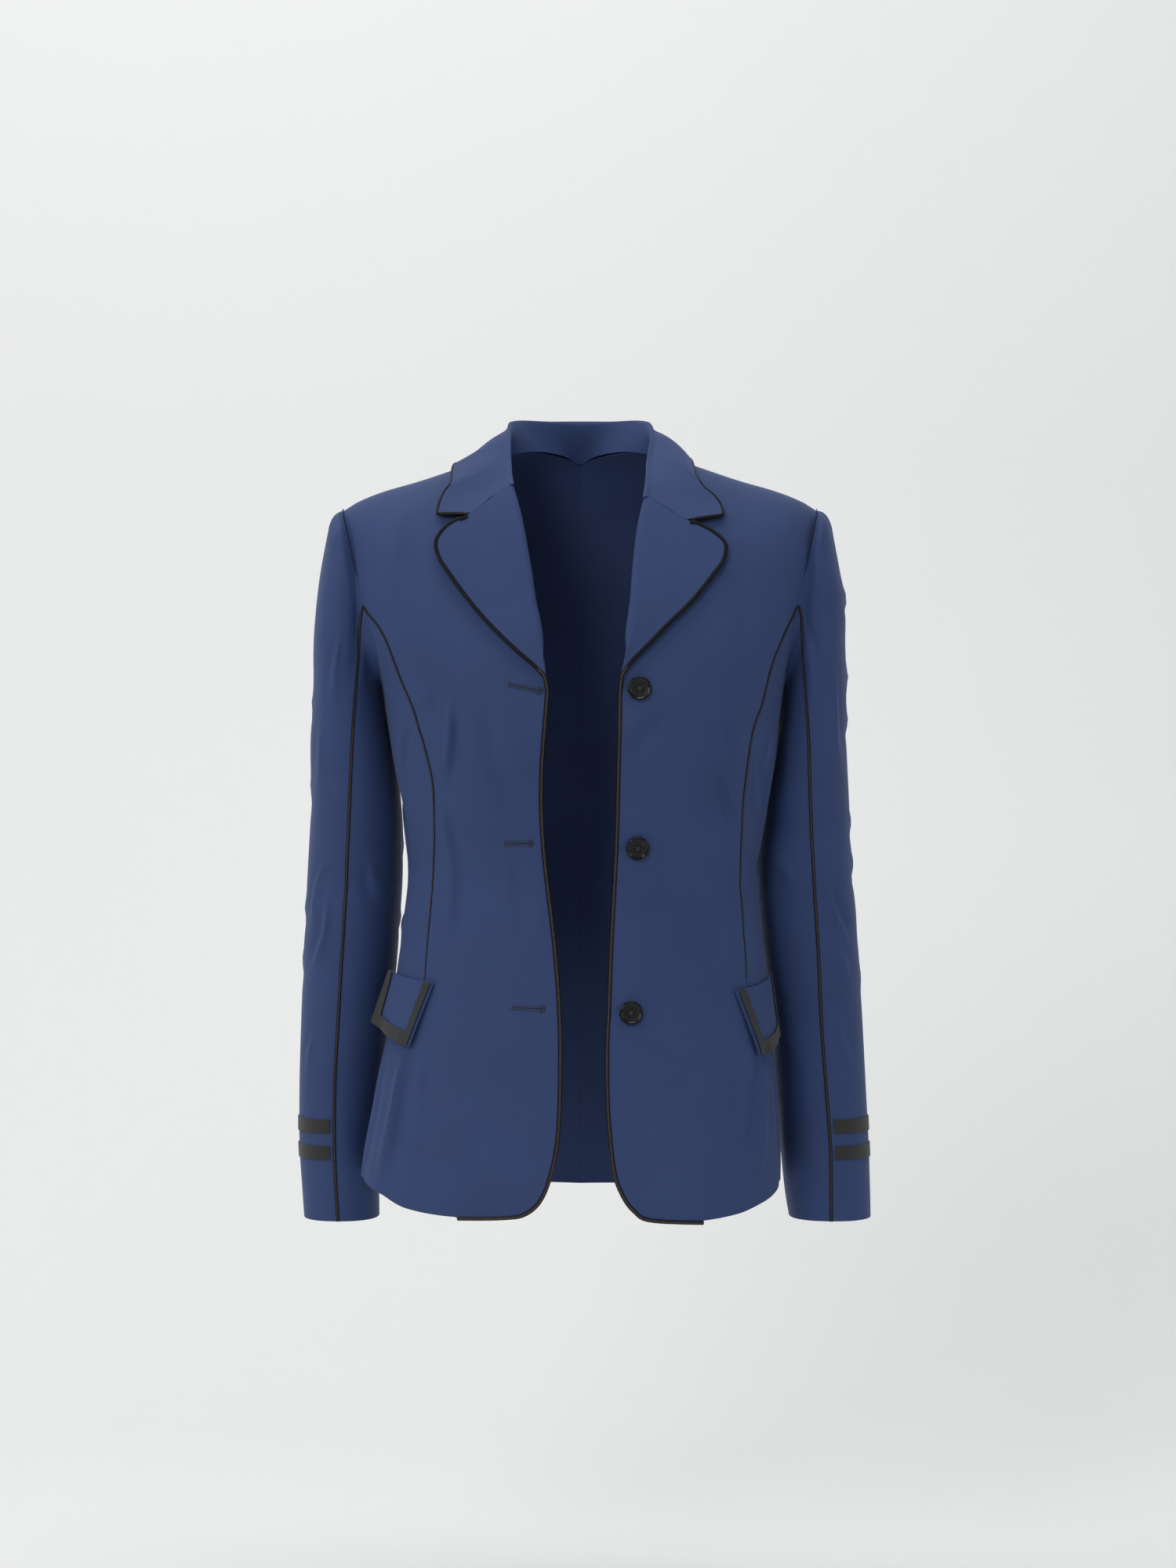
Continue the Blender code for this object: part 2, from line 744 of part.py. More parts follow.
def grid_normals(points, flip=1):
    """Directions at right angles to a grid of points."""
    rows, columns = len(points), len(points[0])
    normals = []
    for i in range(rows):
        line = []
        for j in range(columns):
            down = points[min(i + 1, rows - 1)][j] - points[max(i - 1, 0)][j]
            across = points[i][min(j + 1, columns - 1)] - points[i][max(j - 1, 0)]
            line.append(unit(np.cross(down, across)) * flip)
        normals.append(line)
    return normals


def block(rows, columns):
    return [(i, j) for i in range(*rows) for j in range(*columns)]


def make_material(name, colour, roughness, metallic=0.0):
    material = bpy.data.materials.new(name)
    material.use_nodes = True
    shader = material.node_tree.nodes["Principled BSDF"]
    shader.inputs["Base Color"].default_value = (*colour, 1)
    shader.inputs["Roughness"].default_value = roughness
    shader.inputs["Metallic"].default_value = metallic
    material.diffuse_color = (*colour, 1)
    return material


def add_object(name, points, faces, look, rounded=True):
    mesh = bpy.data.meshes.new(name)
    mesh.from_pydata([tuple(point * METRES) for point in points], [], faces)
    shape = bmesh.new()
    shape.from_mesh(mesh)
    bmesh.ops.recalc_face_normals(shape, faces=shape.faces)
    if shape.calc_volume(signed=True) < 0:
        bmesh.ops.reverse_faces(shape, faces=shape.faces)
    shape.to_mesh(mesh)
    shape.free()
    item = bpy.data.objects.new(name, mesh)
    bpy.context.scene.collection.objects.link(item)
    mesh.materials.append(make_material(name + "_look", *look))
    if rounded:
        mesh.shade_smooth()
    return item


CLOTH_LOOK = (BLUE, 0.85)
PIPING_LOOK = (BLACK, 0.55)
RIBBON_LOOK = (RIBBON_BLACK, 0.75)
BUTTON_LOOK = (BUTTON_BLACK, 0.25)


def body_sheet(side, grid):
    points = [[body_point(side, *place) for place in row] for row in grid]
    normals = [[body_normal(side, *place) for place in row] for row in grid]
    return Sheet(points, normals)


def add_body(side):
    """Front, side and back panel of one half."""
    front, middle, back = body_grid(side)
    name = side_name(side)
    fronts = GORGE_CELLS + SHOULDER_CELLS
    sides = SIDE_FRONT_CELLS + SIDE_BACK_CELLS
    rows = ARMHOLE_ROWS + UPPER_ROWS + SKIRT_ROWS
    whole = []
    for i in range(rows + 1):
        beside = middle[i - ARMHOLE_ROWS][1:] if i >= ARMHOLE_ROWS else [armhole_spot(0)] * sides
        whole.append(list(front[i]) + list(beside))
    sheet = body_sheet(side, whole)
    pocket = ARMHOLE_ROWS + UPPER_ROWS
    skirt = block((pocket, rows), (fronts, fronts + SIDE_FRONT_CELLS))
    front_cells = block((0, rows), (0, fronts)) + skirt
    side_block = block((ARMHOLE_ROWS, rows), (fronts, fronts + sides))
    side_cells = [cell for cell in side_block if cell not in skirt]
    add_object("front_" + name, *sheet.wall(front_cells, WALL), CLOTH_LOOK)
    add_object("side_" + name, *sheet.wall(side_cells, WALL), CLOTH_LOOK)
    back_sheet = body_sheet(side, back)
    back_cells = block((0, rows), (0, len(back[0]) - 1))
    add_object("back_" + name, *back_sheet.wall(back_cells, WALL), CLOTH_LOOK)


def sleeve_fold(side, angle, z):
    folds = SLEEVE_FOLDS[side]
    total = 0.0
    for row in range(len(folds["z"])):
        turn = (math.degrees(angle) - folds["angle"][row] + 180) % 360 - 180
        drop = z - folds["z"][row] - folds["slant"][row] * turn / 360
        size = soft(turn / folds["across"][row]) * soft(drop / folds["along"][row])
        total += folds["depth"][row] * size
    return total * blend(OUTLINE_FOLDS, 1, math.sin(angle) ** 2)


def tube_point(side, angle, z):
    """Point on the outside of a sleeve: angle 0 faces away from the body, 90 degrees the front."""
    sizes = SLEEVE[side]
    outer, inner = read(sizes, "outer", z), read(sizes, "inner", z)
    along, across = unit_arc(angle, SLEEVE_SQUARE)
    fold = sleeve_fold(side, angle, z)
    reach = (outer - inner) / 2 - fold
    depth = read(sizes, "depth", z) - fold
    x = (outer + inner) / 2 + reach * across
    return np.array((side * x, read(sizes, "middle", z) - depth * along, z))


def seam_angle(side, z):
    """Angle of the piped front seam, from where it is seen."""
    sizes = SLEEVE[side]
    outer, inner = read(sizes, "outer", z), read(sizes, "inner", z)
    across = (read(sizes, "seam", z) - (outer + inner) / 2) / ((outer - inner) / 2)
    across = max(-0.99, min(0.99, across))
    return math.atan2((1 - abs(across) ** SLEEVE_SQUARE) ** (1 / SLEEVE_SQUARE), across)


def sleeve_angle(side, share, z):
    """Angle of a column: 0 to 1 over the top sleeve from the front seam, 1 to 2 back under the arm."""
    front = seam_angle(side, z)
    back = BACK_SEAM_ANGLE - TURN
    if share <= 1:
        return blend(front, back, share)
    return blend(back, front - TURN, share - 1)


def sleeve_turn(share):
    return math.pi / 2 - math.pi * share


def sleeve_point(side, share, fall):
    """Point of a sleeve: fall 0 to 1 over the cap, 1 to 2 from there to the cuff."""
    turn = sleeve_turn(share)
    angle, height = armhole_spot(turn % TURN)
    edge = body_point(side, angle, height)
    outward = body_normal(side, angle, height)
    after, before = armhole_spot((turn + 0.02) % TURN), armhole_spot((turn - 0.02) % TURN)
    along = body_point(side, *after) - body_point(side, *before)
    into_hole = unit(np.cross(along, outward)) * side
    edge = edge + outward * SEAM_GAP * 1.4 + into_hole * SEAM_GAP
    low = 0.5 - 0.5 * math.cos(turn)
    if low < 0.5:
        drop = blend(CAP_DROP[0], CAP_DROP[1], low * 2)
    else:
        drop = blend(CAP_DROP[1], CAP_DROP[2], low * 2 - 1)
    cap_end = edge[2] - drop
    if fall >= 1:
        z = blend(cap_end, CUFF_Z, fall - 1)
        return tube_point(side, sleeve_angle(side, share, z), z)
    end = tube_point(side, sleeve_angle(side, share, cap_end), cap_end)
    above = tube_point(side, sleeve_angle(side, share, cap_end), edge[2] - drop * 0.1)
    start = edge + unit(above - edge) * SEAM_GAP
    return (1 - fall) ** 2 * start + 2 * fall * (1 - fall) * above + fall**2 * end


def sleeve_falls():
    cap = [i / CAP_ROWS for i in range(CAP_ROWS)]
    return cap + [1 + i / SLEEVE_ROWS for i in range(SLEEVE_ROWS + 1)]


def sleeve_shares():
    upper = 2 * ARMHOLE_ROWS
    lower = SIDE_FRONT_CELLS + SIDE_BACK_CELLS
    return [i / upper for i in range(upper)] + [1 + i / lower for i in range(lower)]


def sleeve_sheet(side):
    shares = sleeve_shares()
    points = [[sleeve_point(side, share, fall) for share in shares] for fall in sleeve_falls()]
    count = len(shares)
    normals = []
    for i, row in enumerate(points):
        line = []
        for j in range(count):
            down = points[min(i + 1, len(points) - 1)][j] - points[max(i - 1, 0)][j]
            across = unit(row[(j + 1) % count] - row[j]) + unit(row[j] - row[j - 1])
            line.append(unit(np.cross(down, across)) * side)
        normals.append(line)
    points = [row + row[:1] for row in points]
    normals = [row + row[:1] for row in normals]
    return Sheet(points, normals)


def add_sleeve(side):
    sheet = sleeve_sheet(side)
    rows = len(sheet.points) - 1
    upper = 2 * ARMHOLE_ROWS
    whole = upper + SIDE_FRONT_CELLS + SIDE_BACK_CELLS
    name = side_name(side)
    for piece, columns in (("top_sleeve_", (0, upper)), ("under_sleeve_", (upper, whole))):
        wall = sheet.wall(block((0, rows), columns), WALL, wide_rows=CAP_ROWS + 1)
        add_object(piece + name, *wall, CLOTH_LOOK)


def rolled_row(edge, away, up, out, fold_rise, end, via, cells):
    """Middle line of cloth that rises from an edge, turns over and runs out to its own edge."""
    base = edge + away * (LAPEL_WALL / 2 + ROLL_CLEARANCE)
    top = base + up * fold_rise
    below = top - up * 2
    over = below + out * ROLL_OUT
    line = [base, blend(base, below, 0.5), below, top + out * ROLL_OUT / 2 + up * 0.8, over]
    for k in range(1, cells + 1):
        t = k / cells
        line.append((1 - t) ** 2 * over + 2 * t * (1 - t) * via + t**2 * end)
    return line


def lapel_rows(side):
    """Middle lines of the lapel's sections from the gorge seam down, and the spots of their ends."""
    edge = front_edge_line(side)
    roll = even([place for place in edge if place[1] > LAPEL_FOOT], LAPEL_ROWS)
    outline = LAPEL_EDGE[side]
    outer = smooth_line(list(zip(outline["x"], outline["z"])), LAPEL_ROWS)
    outer_spots = [spot(side, x, z) for x, z in outer]
    points = []
    for k in range(LAPEL_ROWS + 1):
        place, far = roll[k], outer_spots[k]
        normal = body_normal(side, *place)
        start = body_point(side, *place) + normal * SEAM_GAP
        share = k / LAPEL_ROWS
        end = body_point(side, *far) + body_normal(side, *far) * blend(*LAPEL_EDGE_LIFT, share)
        between = blend(place, far, 0.5)
        via = body_point(side, *between) + body_normal(side, *between) * blend(*LAPEL_MIDDLE_LIFT, share)
        out = end - start
        out = unit(out - normal * out.dot(normal))
        points.append(rolled_row(start, -out, normal, out, ROLL_RISE, end, via, LAPEL_CELLS))
    return points, outer_spots


def add_lapel(side):
    points, outer_spots = lapel_rows(side)
    for k, point in enumerate(points[0]):
        clear = blend(GORGE_CLEARANCE, SEAM_GAP, min(max(k - ROLL_STEPS, 0) / GORGE_FADE, 1))
        points[0][k] = point + unit(points[1][k] - point) * clear
    sheet = Sheet(points, grid_normals(points, side))
    for row, far in zip(sheet.normals, outer_spots):
        row[-1] = body_normal(side, *far)
    cells = block((0, LAPEL_ROWS), (0, len(points[0]) - 1))
    add_object("lapel_" + side_name(side), *sheet.wall(cells, LAPEL_WALL, centred=True), CLOTH_LOOK)
    return sheet


def collar_rows(side):
    """Middle lines of the collar's sections on one side, from the gorge seam to the centre back."""
    front, _, back = body_grid(side)
    seam = list(front[0][: GORGE_CELLS + 1]) + list(back[0][SHOULDER_CELLS + 1 :])
    sizes = COLLAR[side]
    rows = []
    for k, place in enumerate(seam):
        s = k / (len(seam) - 1)
        fold = np.array([read(sizes, "fold_" + axis, s, "s") for axis in "xyz"])
        fold[0] *= side
        behind = read(sizes, "behind", s, "s") > 0.5
        far = spot(side, read(sizes, "edge_x", s, "s"), read(sizes, "edge_z", s, "s"), behind)
        far_normal = body_normal(side, *far)
        end = body_point(side, *far) + far_normal * read(sizes, "lift", s, "s")
        start = body_point(side, *place) - body_normal(side, *place) * WALL / 2
        up = unit(fold - start)
        out = end - fold
        out = unit(out - up * out.dot(up))
        rise = np.linalg.norm(fold - start)
        middle = blend(fold, end, 0.5) + far_normal * read(sizes, "bulge", s, "s") * 2
        middle = middle - np.array((0, 0, read(sizes, "dip", s, "s") * 2))
        rows.append(rolled_row(start, -out, up, out, rise, end, middle, LAPEL_CELLS))
    lay_gorge(rows[0], lapel_rows(side)[0][0])
    return rows


def lay_gorge(row, seam):
    """Lays the collar's first section along the lapel's top seam, then straight to the collar's corner."""
    notch = len(row) - 1 - COLLAR_NOTCH_CELLS
    sewn = notch - ROLL_STEPS
    for k in range(1, sewn + 1):
        place = ROLL_STEPS + LAPEL_CELLS * k / sewn
        low = min(int(place), len(seam) - 2)
        beside = blend(seam[low], seam[low + 1], place - low)
        row[ROLL_STEPS + k] = beside + np.array((0, 0, GORGE_LIFT))
    corner = row[-1]
    for k in range(1, COLLAR_NOTCH_CELLS):
        row[notch + k] = blend(row[notch], corner, k / COLLAR_NOTCH_CELLS)


def add_collar():
    left = collar_rows(-1)
    right = collar_rows(1)
    points = left + right[-2::-1]
    sheet = Sheet(points, grid_normals(points, -1))
    cells = block((0, len(points) - 1), (0, len(points[0]) - 1))
    add_object("collar", *sheet.wall(cells, LAPEL_WALL, centred=True), CLOTH_LOOK)
    return sheet


def tube(path, sides, radius, start_side=None):
    """Closed round cord along a path."""
    points, faces = [], []
    path = [np.array(point) for point in path]
    across = np.array((0.0, 0.0, 1.0)) if start_side is None else start_side
    for k, point in enumerate(path):
        along = unit(path[min(k + 1, len(path) - 1)] - path[max(k - 1, 0)])
        across = unit(across - along * across.dot(along))
        other = np.cross(along, across)
        for step in range(sides):
            angle = TURN * step / sides
            points.append(point + (across * math.cos(angle) + other * math.sin(angle)) * radius)
    for k in range(len(path) - 1):
        for step in range(sides):
            a, b = k * sides + step, k * sides + (step + 1) % sides
            faces.append((a, b, b + sides, a + sides))
    faces.append(tuple(reversed(range(sides))))
    faces.append(tuple(range(len(points) - sides, len(points))))
    return points, faces


def raised_strip(path, normals, profile):
    """Closed strip along a path: the profile gives its corners as offsets across and out."""
    points, faces = [], []
    count = len(profile)
    for k, point in enumerate(path):
        along = unit(path[min(k + 1, len(path) - 1)] - path[max(k - 1, 0)])
        across = unit(np.cross(normals[k], along))
        for sideways, out in profile:
            points.append(point + across * sideways + normals[k] * out)
    for k in range(len(path) - 1):
        for step in range(count):
            a, b = k * count + step, k * count + (step + 1) % count
            faces.append((a, b, b + count, a + count))
    faces.append(tuple(reversed(range(count))))
    faces.append(tuple(range(len(points) - count, len(points))))
    return points, faces


def piping_profile():
    half = PIPING_WIDTH / 2
    low, high = SEAM_GAP, SEAM_GAP + PIPING_RISE
    shoulder, crown = (half * 0.9, high * 0.6), (half * 0.35, high)
    return ((-half, low), (half, low), shoulder, crown, (-crown[0], high), (-shoulder[0], shoulder[1]))


def add_seam_piping(side):
    """Piping on the princess seam and down the front seam of the sleeve."""
    name = side_name(side)
    line = princess_line(side)[:-1]
    line[0] = blend(line[0], line[1], 0.12)
    path = [body_point(side, *place) for place in line]
    normals = [body_normal(side, *place) for place in line]
    add_object("princess_piping_" + name, *raised_strip(path, normals, piping_profile()), PIPING_LOOK)
    sheet = sleeve_sheet(side)
    normals = [row[0] for row in sheet.normals][1:]
    path = [row[0] + normal * SEAM_GAP for row, normal in zip(sheet.points[1:], normals)]
    path[-1] = blend(path[-1], path[-2], 0.04)
    add_object("sleeve_piping_" + name, *raised_strip(path, normals, piping_profile()), PIPING_LOOK)


def edge_cord(name, edge, inside, normals, radius):
    """Piping along a free edge, just past it and mitred at the corners."""
    path, signs = [], []
    for k, point in enumerate(edge):
        before = unit(point - edge[k - 1]) if k else unit(edge[1] - point)
        after = unit(edge[k + 1] - point) if k < len(edge) - 1 else before
        along = unit(before + after)
        out = unit(np.cross(along, normals[k])) / max(along.dot(before), 0.6)
        path.append(out * (radius + CORD_GAP))
        signs.append(out.dot(point - inside[k]))
    turn = 1 if sum(signs) > 0 else -1
    path = [point + turn * out for point, out in zip(edge, path)]
    add_object(name, *tube(path, CORD_SIDES, radius, normals[0]), PIPING_LOOK)


def add_front_piping(side):
    """Piping from the lower end of the lapel down the front edge and round to the hem."""
    front, _, _ = body_grid(side)
    places = [(row[0], row[1]) for row in front]
    first = next(k for k, (place, _) in enumerate(places) if place[1] < FRONT_PIPING_START)
    above, below = places[first - 1], places[first]
    share = (FRONT_PIPING_START - above[0][1]) / (below[0][1] - above[0][1])
    places = [(blend(above[0], below[0], share), blend(above[1], below[1], share))] + places[first:]
    normals = [body_normal(side, *place) for place, _ in places]
    edge = [body_point(side, *place) - normal * WALL / 2 for (place, _), normal in zip(places, normals)]
    inside = [body_point(side, *near) for _, near in places]
    edge_cord("front_piping_" + side_name(side), edge, inside, normals, PIPING_RADIUS)


def add_lapel_piping(side, lapel):
    edge = [row[-1] for row in lapel.points]
    edge[0] = blend(edge[0], edge[1], NOTCH_START)
    inside = [row[-2] for row in lapel.points]
    normals = [row[-1] for row in lapel.normals]
    edge_cord("lapel_piping_" + side_name(side), edge, inside, normals, EDGE_PIPING_RADIUS)


def add_collar_piping(collar):
    """Piping from one notch round the collar's outer edge to the other notch."""
    rows, out = collar.points, collar.normals
    notch = len(rows[0]) - 1 - COLLAR_NOTCH_CELLS
    first = [blend(rows[0][notch], rows[0][notch + 1], NOTCH_START)] + rows[0][notch + 1 : -1]
    last = rows[-1][notch + 1 : -1][::-1] + [blend(rows[-1][notch], rows[-1][notch + 1], NOTCH_START)]
    edge = first + [row[-1] for row in rows] + last
    normals = out[0][notch:-1] + [row[-1] for row in out] + out[-1][notch:-1][::-1]
    inside = [rows[1][notch]] * COLLAR_NOTCH_CELLS + [row[-2] for row in rows]
    inside += [rows[-2][notch]] * COLLAR_NOTCH_CELLS
    edge_cord("collar_piping", edge, inside, normals, EDGE_PIPING_RADIUS)


def add_flap(side):
    corners = FLAP[side]
    place = {name: k for k, name in enumerate(corners["corner"])}

    def corner(name):
        k = place[name]
        angle, height = math.radians(corners["angle"][k]), corners["z"][k] - YOKE_Z
        return np.array((angle, height, corners["lift"][k], corners["flare"][k]))

    points = []
    for i in range(FLAP_ROWS + 1):
        start = blend(corner("top_front"), corner("low_front"), i / FLAP_ROWS)
        end = blend(corner("top_rear"), corner("low_rear"), i / FLAP_ROWS)
        row = []
        for j in range(FLAP_CELLS + 1):
            angle, height, lift, _ = blend(start, end, j / FLAP_CELLS)
            flare = end[3] * max((j / FLAP_CELLS - FLARE_START) / (1 - FLARE_START), 0) ** 2
            normal = body_normal(side, angle, height)
            row.append(body_point(side, angle, height) + normal * (lift + flare))
        points.append(row)
    sheet = Sheet(points, grid_normals(points, side))
    name = side_name(side)
    cells = block((0, FLAP_ROWS), (0, FLAP_CELLS))
    add_object("flap_" + name, *sheet.wall(cells, WALL), CLOTH_LOOK)
    return sheet


def add_flap_band(side, flap):
    """Ribbon along the front, bottom and rear edge of a flap, raised off its face."""
    lift = SEAM_GAP + RIBBON_WALL
    raised = [[p + n * lift for p, n in zip(row, out)] for row, out in zip(flap.points, flap.normals)]
    rows, columns = len(raised), len(raised[0])

    def at(v, u):
        """Point of the raised face v of the way down and u of the way back, with its direction."""
        y, x = min(v * (rows - 1), rows - 1.001), min(u * (columns - 1), columns - 1.001)
        i, j = int(y), int(x)
        value = []
        for grid in (raised, flap.normals):
            top = blend(grid[i][j], grid[i][j + 1], x - j)
            low = blend(grid[i + 1][j], grid[i + 1][j + 1], x - j)
            value.append(blend(top, low, y - i))
        return value

    tall = np.linalg.norm(raised[-1][0] - raised[0][0])
    wide = sum(np.linalg.norm(b - a) for a, b in zip(raised[-1], raised[-1][1:]))
    down, back = FLAP_RIBBON / tall, FLAP_RIBBON / wide
    outline = [(v, 0.0, v * (1 - down), back) for v in np.linspace(0.01, 1, FLAP_ROWS + 1)]
    outline += [(1.0, u, 1 - down, blend(back, 1 - back, u)) for u in np.linspace(0, 1, FLAP_CELLS + 1)[1:]]
    outline += [(v, 1.0, v * (1 - down), 1 - back) for v in np.linspace(1, 0.01, FLAP_ROWS + 1)[1:]]
    points, normals = [], []
    for v, u, inner_v, inner_u in outline:
        a, n = at(v, u)
        b, m = at(inner_v, inner_u)
        points.append([a, blend(a, b, 0.5), b])
        normals.append([n, n, m])
    sheet = Sheet(points, normals)
    cells = block((0, len(points) - 1), (0, 2))
    add_object("flap_band_" + side_name(side), *sheet.wall(cells, RIBBON_WALL, gap=0.0), RIBBON_LOOK)


def add_cuff_ribbons(side):
    """Two bars of ribbon on each top sleeve, from the front seam to the back seam."""
    for number, top in enumerate(CUFF_RIBBONS, 1):
        points, normals = [], []
        for z in (top, top - CUFF_RIBBON / 2, top - CUFF_RIBBON):
            row, out = [], []
            for k in range(2 * ARMHOLE_ROWS + 1):
                share = blend(0.03, 0.99, k / (2 * ARMHOLE_ROWS))
                angle = sleeve_angle(side, share, z)
                here = tube_point(side, angle, z)
                around = tube_point(side, angle + 0.02, z) - tube_point(side, angle - 0.02, z)
                up = tube_point(side, angle, z + 0.5) - tube_point(side, angle, z - 0.5)
                normal = unit(np.cross(around, up)) * side
                if normal.dot(here - np.array((side * 210, 38, z))) < 0:
                    normal = -normal
                row.append(here + normal * (SEAM_GAP + 0.5 + RIBBON_WALL))
                out.append(normal)
            points.append(row)
            normals.append(out)
        cells = block((0, 2), (0, 2 * ARMHOLE_ROWS))
        name = "cuff_ribbon_" + side_name(side) + "_" + str(number)
        add_object(name, *Sheet(points, normals).wall(cells, RIBBON_WALL, gap=0.0), RIBBON_LOOK)


def add_button(number, x, z):
    """A turned button with four holes, its back just off the cloth."""
    steps = BUTTON_STEPS
    place = spot(1, x, z)
    axis = body_normal(1, *place)
    middle = body_point(1, *place) + axis * BUTTON_SEAT
    across = unit(np.cross(axis, np.array((0.0, 0.0, 1.0))))
    other = np.cross(axis, across)
    radii, heights = BUTTON_PROFILE["radius"], BUTTON_PROFILE["height"]
    points = [middle + axis * heights[0]]
    for radius, height in list(zip(radii, heights))[1:-1]:
        for k in range(steps):
            angle = TURN * k / steps
            rim = (across * math.cos(angle) + other * math.sin(angle)) * radius
            points.append(middle + axis * height + rim)
    points.append(middle + axis * heights[-1])
    rings = len(radii) - 2
    faces = []
    for k in range(steps):
        after = (k + 1) % steps
        faces.append((0, 1 + after, 1 + k))
        last = 1 + (rings - 1) * steps
        faces.append((last + k, last + after, len(points) - 1))
        for ring in range(rings - 1):
            a = 1 + ring * steps
            faces.append((a + k, a + after, a + steps + after, a + steps + k))
    button = add_object("button_" + str(number), points, faces, BUTTON_LOOK)
    drills = []
    for k in range(4):
        angle = TURN * (k + 0.5) / 4
        centre = middle + (across * math.cos(angle) + other * math.sin(angle)) * BUTTON_HOLE_SPREAD
        drill = add_object(
            "drill_" + str(number) + "_" + str(k),
            *tube([centre - axis * 2, centre + axis * 6], DRILL_SIDES, BUTTON_HOLE_RADIUS, across),
            BUTTON_LOOK,
        )
        drill.hide_render = True
        drill.hide_viewport = True
        drills.append(drill)
    for drill in drills:
        cut = button.modifiers.new("hole", "BOOLEAN")
        cut.operation = "DIFFERENCE"
        cut.object = drill
    return button


def clear_scene():
    for item in list(bpy.data.objects):
        bpy.data.objects.remove(item, do_unlink=True)


def main():
    clear_scene()
    for side in (-1, 1):
        add_body(side)
        add_sleeve(side)
        add_lapel_piping(side, add_lapel(side))
        flap = add_flap(side)
        add_flap_band(side, flap)
        add_cuff_ribbons(side)
        add_seam_piping(side)
        add_front_piping(side)
    add_collar_piping(add_collar())
    for number, (x, z) in enumerate(zip(BUTTONS["x"], BUTTONS["z"]), 1):
        add_button(number, x, z)


main()
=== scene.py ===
import json
import math

import bmesh
import bpy
import numpy as np
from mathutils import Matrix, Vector

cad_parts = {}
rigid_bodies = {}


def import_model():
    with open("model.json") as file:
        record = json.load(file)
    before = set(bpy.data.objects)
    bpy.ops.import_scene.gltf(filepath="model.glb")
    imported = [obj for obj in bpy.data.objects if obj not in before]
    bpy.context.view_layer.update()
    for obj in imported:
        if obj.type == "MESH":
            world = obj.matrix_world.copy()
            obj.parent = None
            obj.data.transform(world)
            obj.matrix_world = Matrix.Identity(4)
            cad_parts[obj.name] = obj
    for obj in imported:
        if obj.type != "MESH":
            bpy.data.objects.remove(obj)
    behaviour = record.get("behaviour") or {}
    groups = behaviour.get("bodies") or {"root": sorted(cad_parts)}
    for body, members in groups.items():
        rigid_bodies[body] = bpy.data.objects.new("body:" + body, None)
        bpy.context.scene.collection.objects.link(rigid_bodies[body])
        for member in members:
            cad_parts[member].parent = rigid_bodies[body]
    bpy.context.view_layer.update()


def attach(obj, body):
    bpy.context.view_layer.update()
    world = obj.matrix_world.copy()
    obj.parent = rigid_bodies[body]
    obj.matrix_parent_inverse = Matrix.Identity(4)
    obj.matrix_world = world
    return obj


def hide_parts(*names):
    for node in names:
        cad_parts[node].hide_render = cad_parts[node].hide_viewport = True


# Riding jacket: cloth shells, piping, ribbon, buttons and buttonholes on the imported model.
# Lengths are in millimetres until a mesh is made. Side -1 is the -X half, side 1 the +X half.

for item in list(bpy.data.objects):
    bpy.data.objects.remove(item)
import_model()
print("frame loaded")

turn = 2 * math.pi
sides = {-1: "left", 1: "right"}
# Levels and widths of the cut, the same as in the solids
yokeZ = -130.0
yokeRise = 100.0
shoulderHalf = 205.5
neckHalf = 75.0
backNeckHeight = 66.0
underarmDrop = 67.0
armFrontSweep = math.radians(29)
armBackSweep = math.radians(33)
armholeSpread = 0.72
backWaistZ = -455.0
# Lapels and collar: clearance and height of the roll, and how far the lapel stands off the body at its
# edge and halfway out; pairs run from the gorge to the top button
rollClearance = 1.4
rollRise = (5.2, 3.4)
lapelEdgeLift = (6.0, 4.2)
lapelMiddleLift = (6.3, 4.6)
lapelFoot = -62.0
gorgeClearance = 1.2
gorgeFade = 2  # cells over which that clearance fades out
gorgeLift = 0.35
notchStart = 0.5  # share of the first cell left bare at the notch
# Where the stretches of the front edge end: armhole foot, pocket, start and end of the rounded corner
frontEdgeLevels = (-112.0, -452.0, -592.0)
frontCornerEnd = 64.0
frontPipingStart = -61.0
# Sleeves, and share of the folds' depth left where the sleeve turns from its front to its back
cuffZ = -661.0
backSeamAngle = math.radians(250)
sleeveSquare = 2.25
outlineFolds = 0.4
# Lines down the skirt: angle round the body of each at the pocket or the hem, and the pocket's height
pocketSide = (96, -447.0)
hemPrincessAngle, hemSideAngle, hemBackSeamAngle = 56, 97, 136
# How far the sleeve cap drops from the armhole seam: at the shoulder, at the notch and under the arm
capDrop = (16, 42, 26)

# Cells along each stretch of the solids' grid, and how many of ours fill each
gorgeCells, shoulderCells, backNeckCells = 5, 5, 5
armholeRows, upperRows, skirtRows, cornerRows = 6, 11, 8, 4
sideFrontCells, sideBackCells = 4, 4
capRows, sleeveRows = 4, 12
lapelRows, lapelCells, rollSteps, notchCells = 14, 5, 4, 3
bodyFine, sleeveFine, lapelFine = 8, 7, 5


def table(names, *rows):
    return dict(zip(names.split(), zip(*rows)))


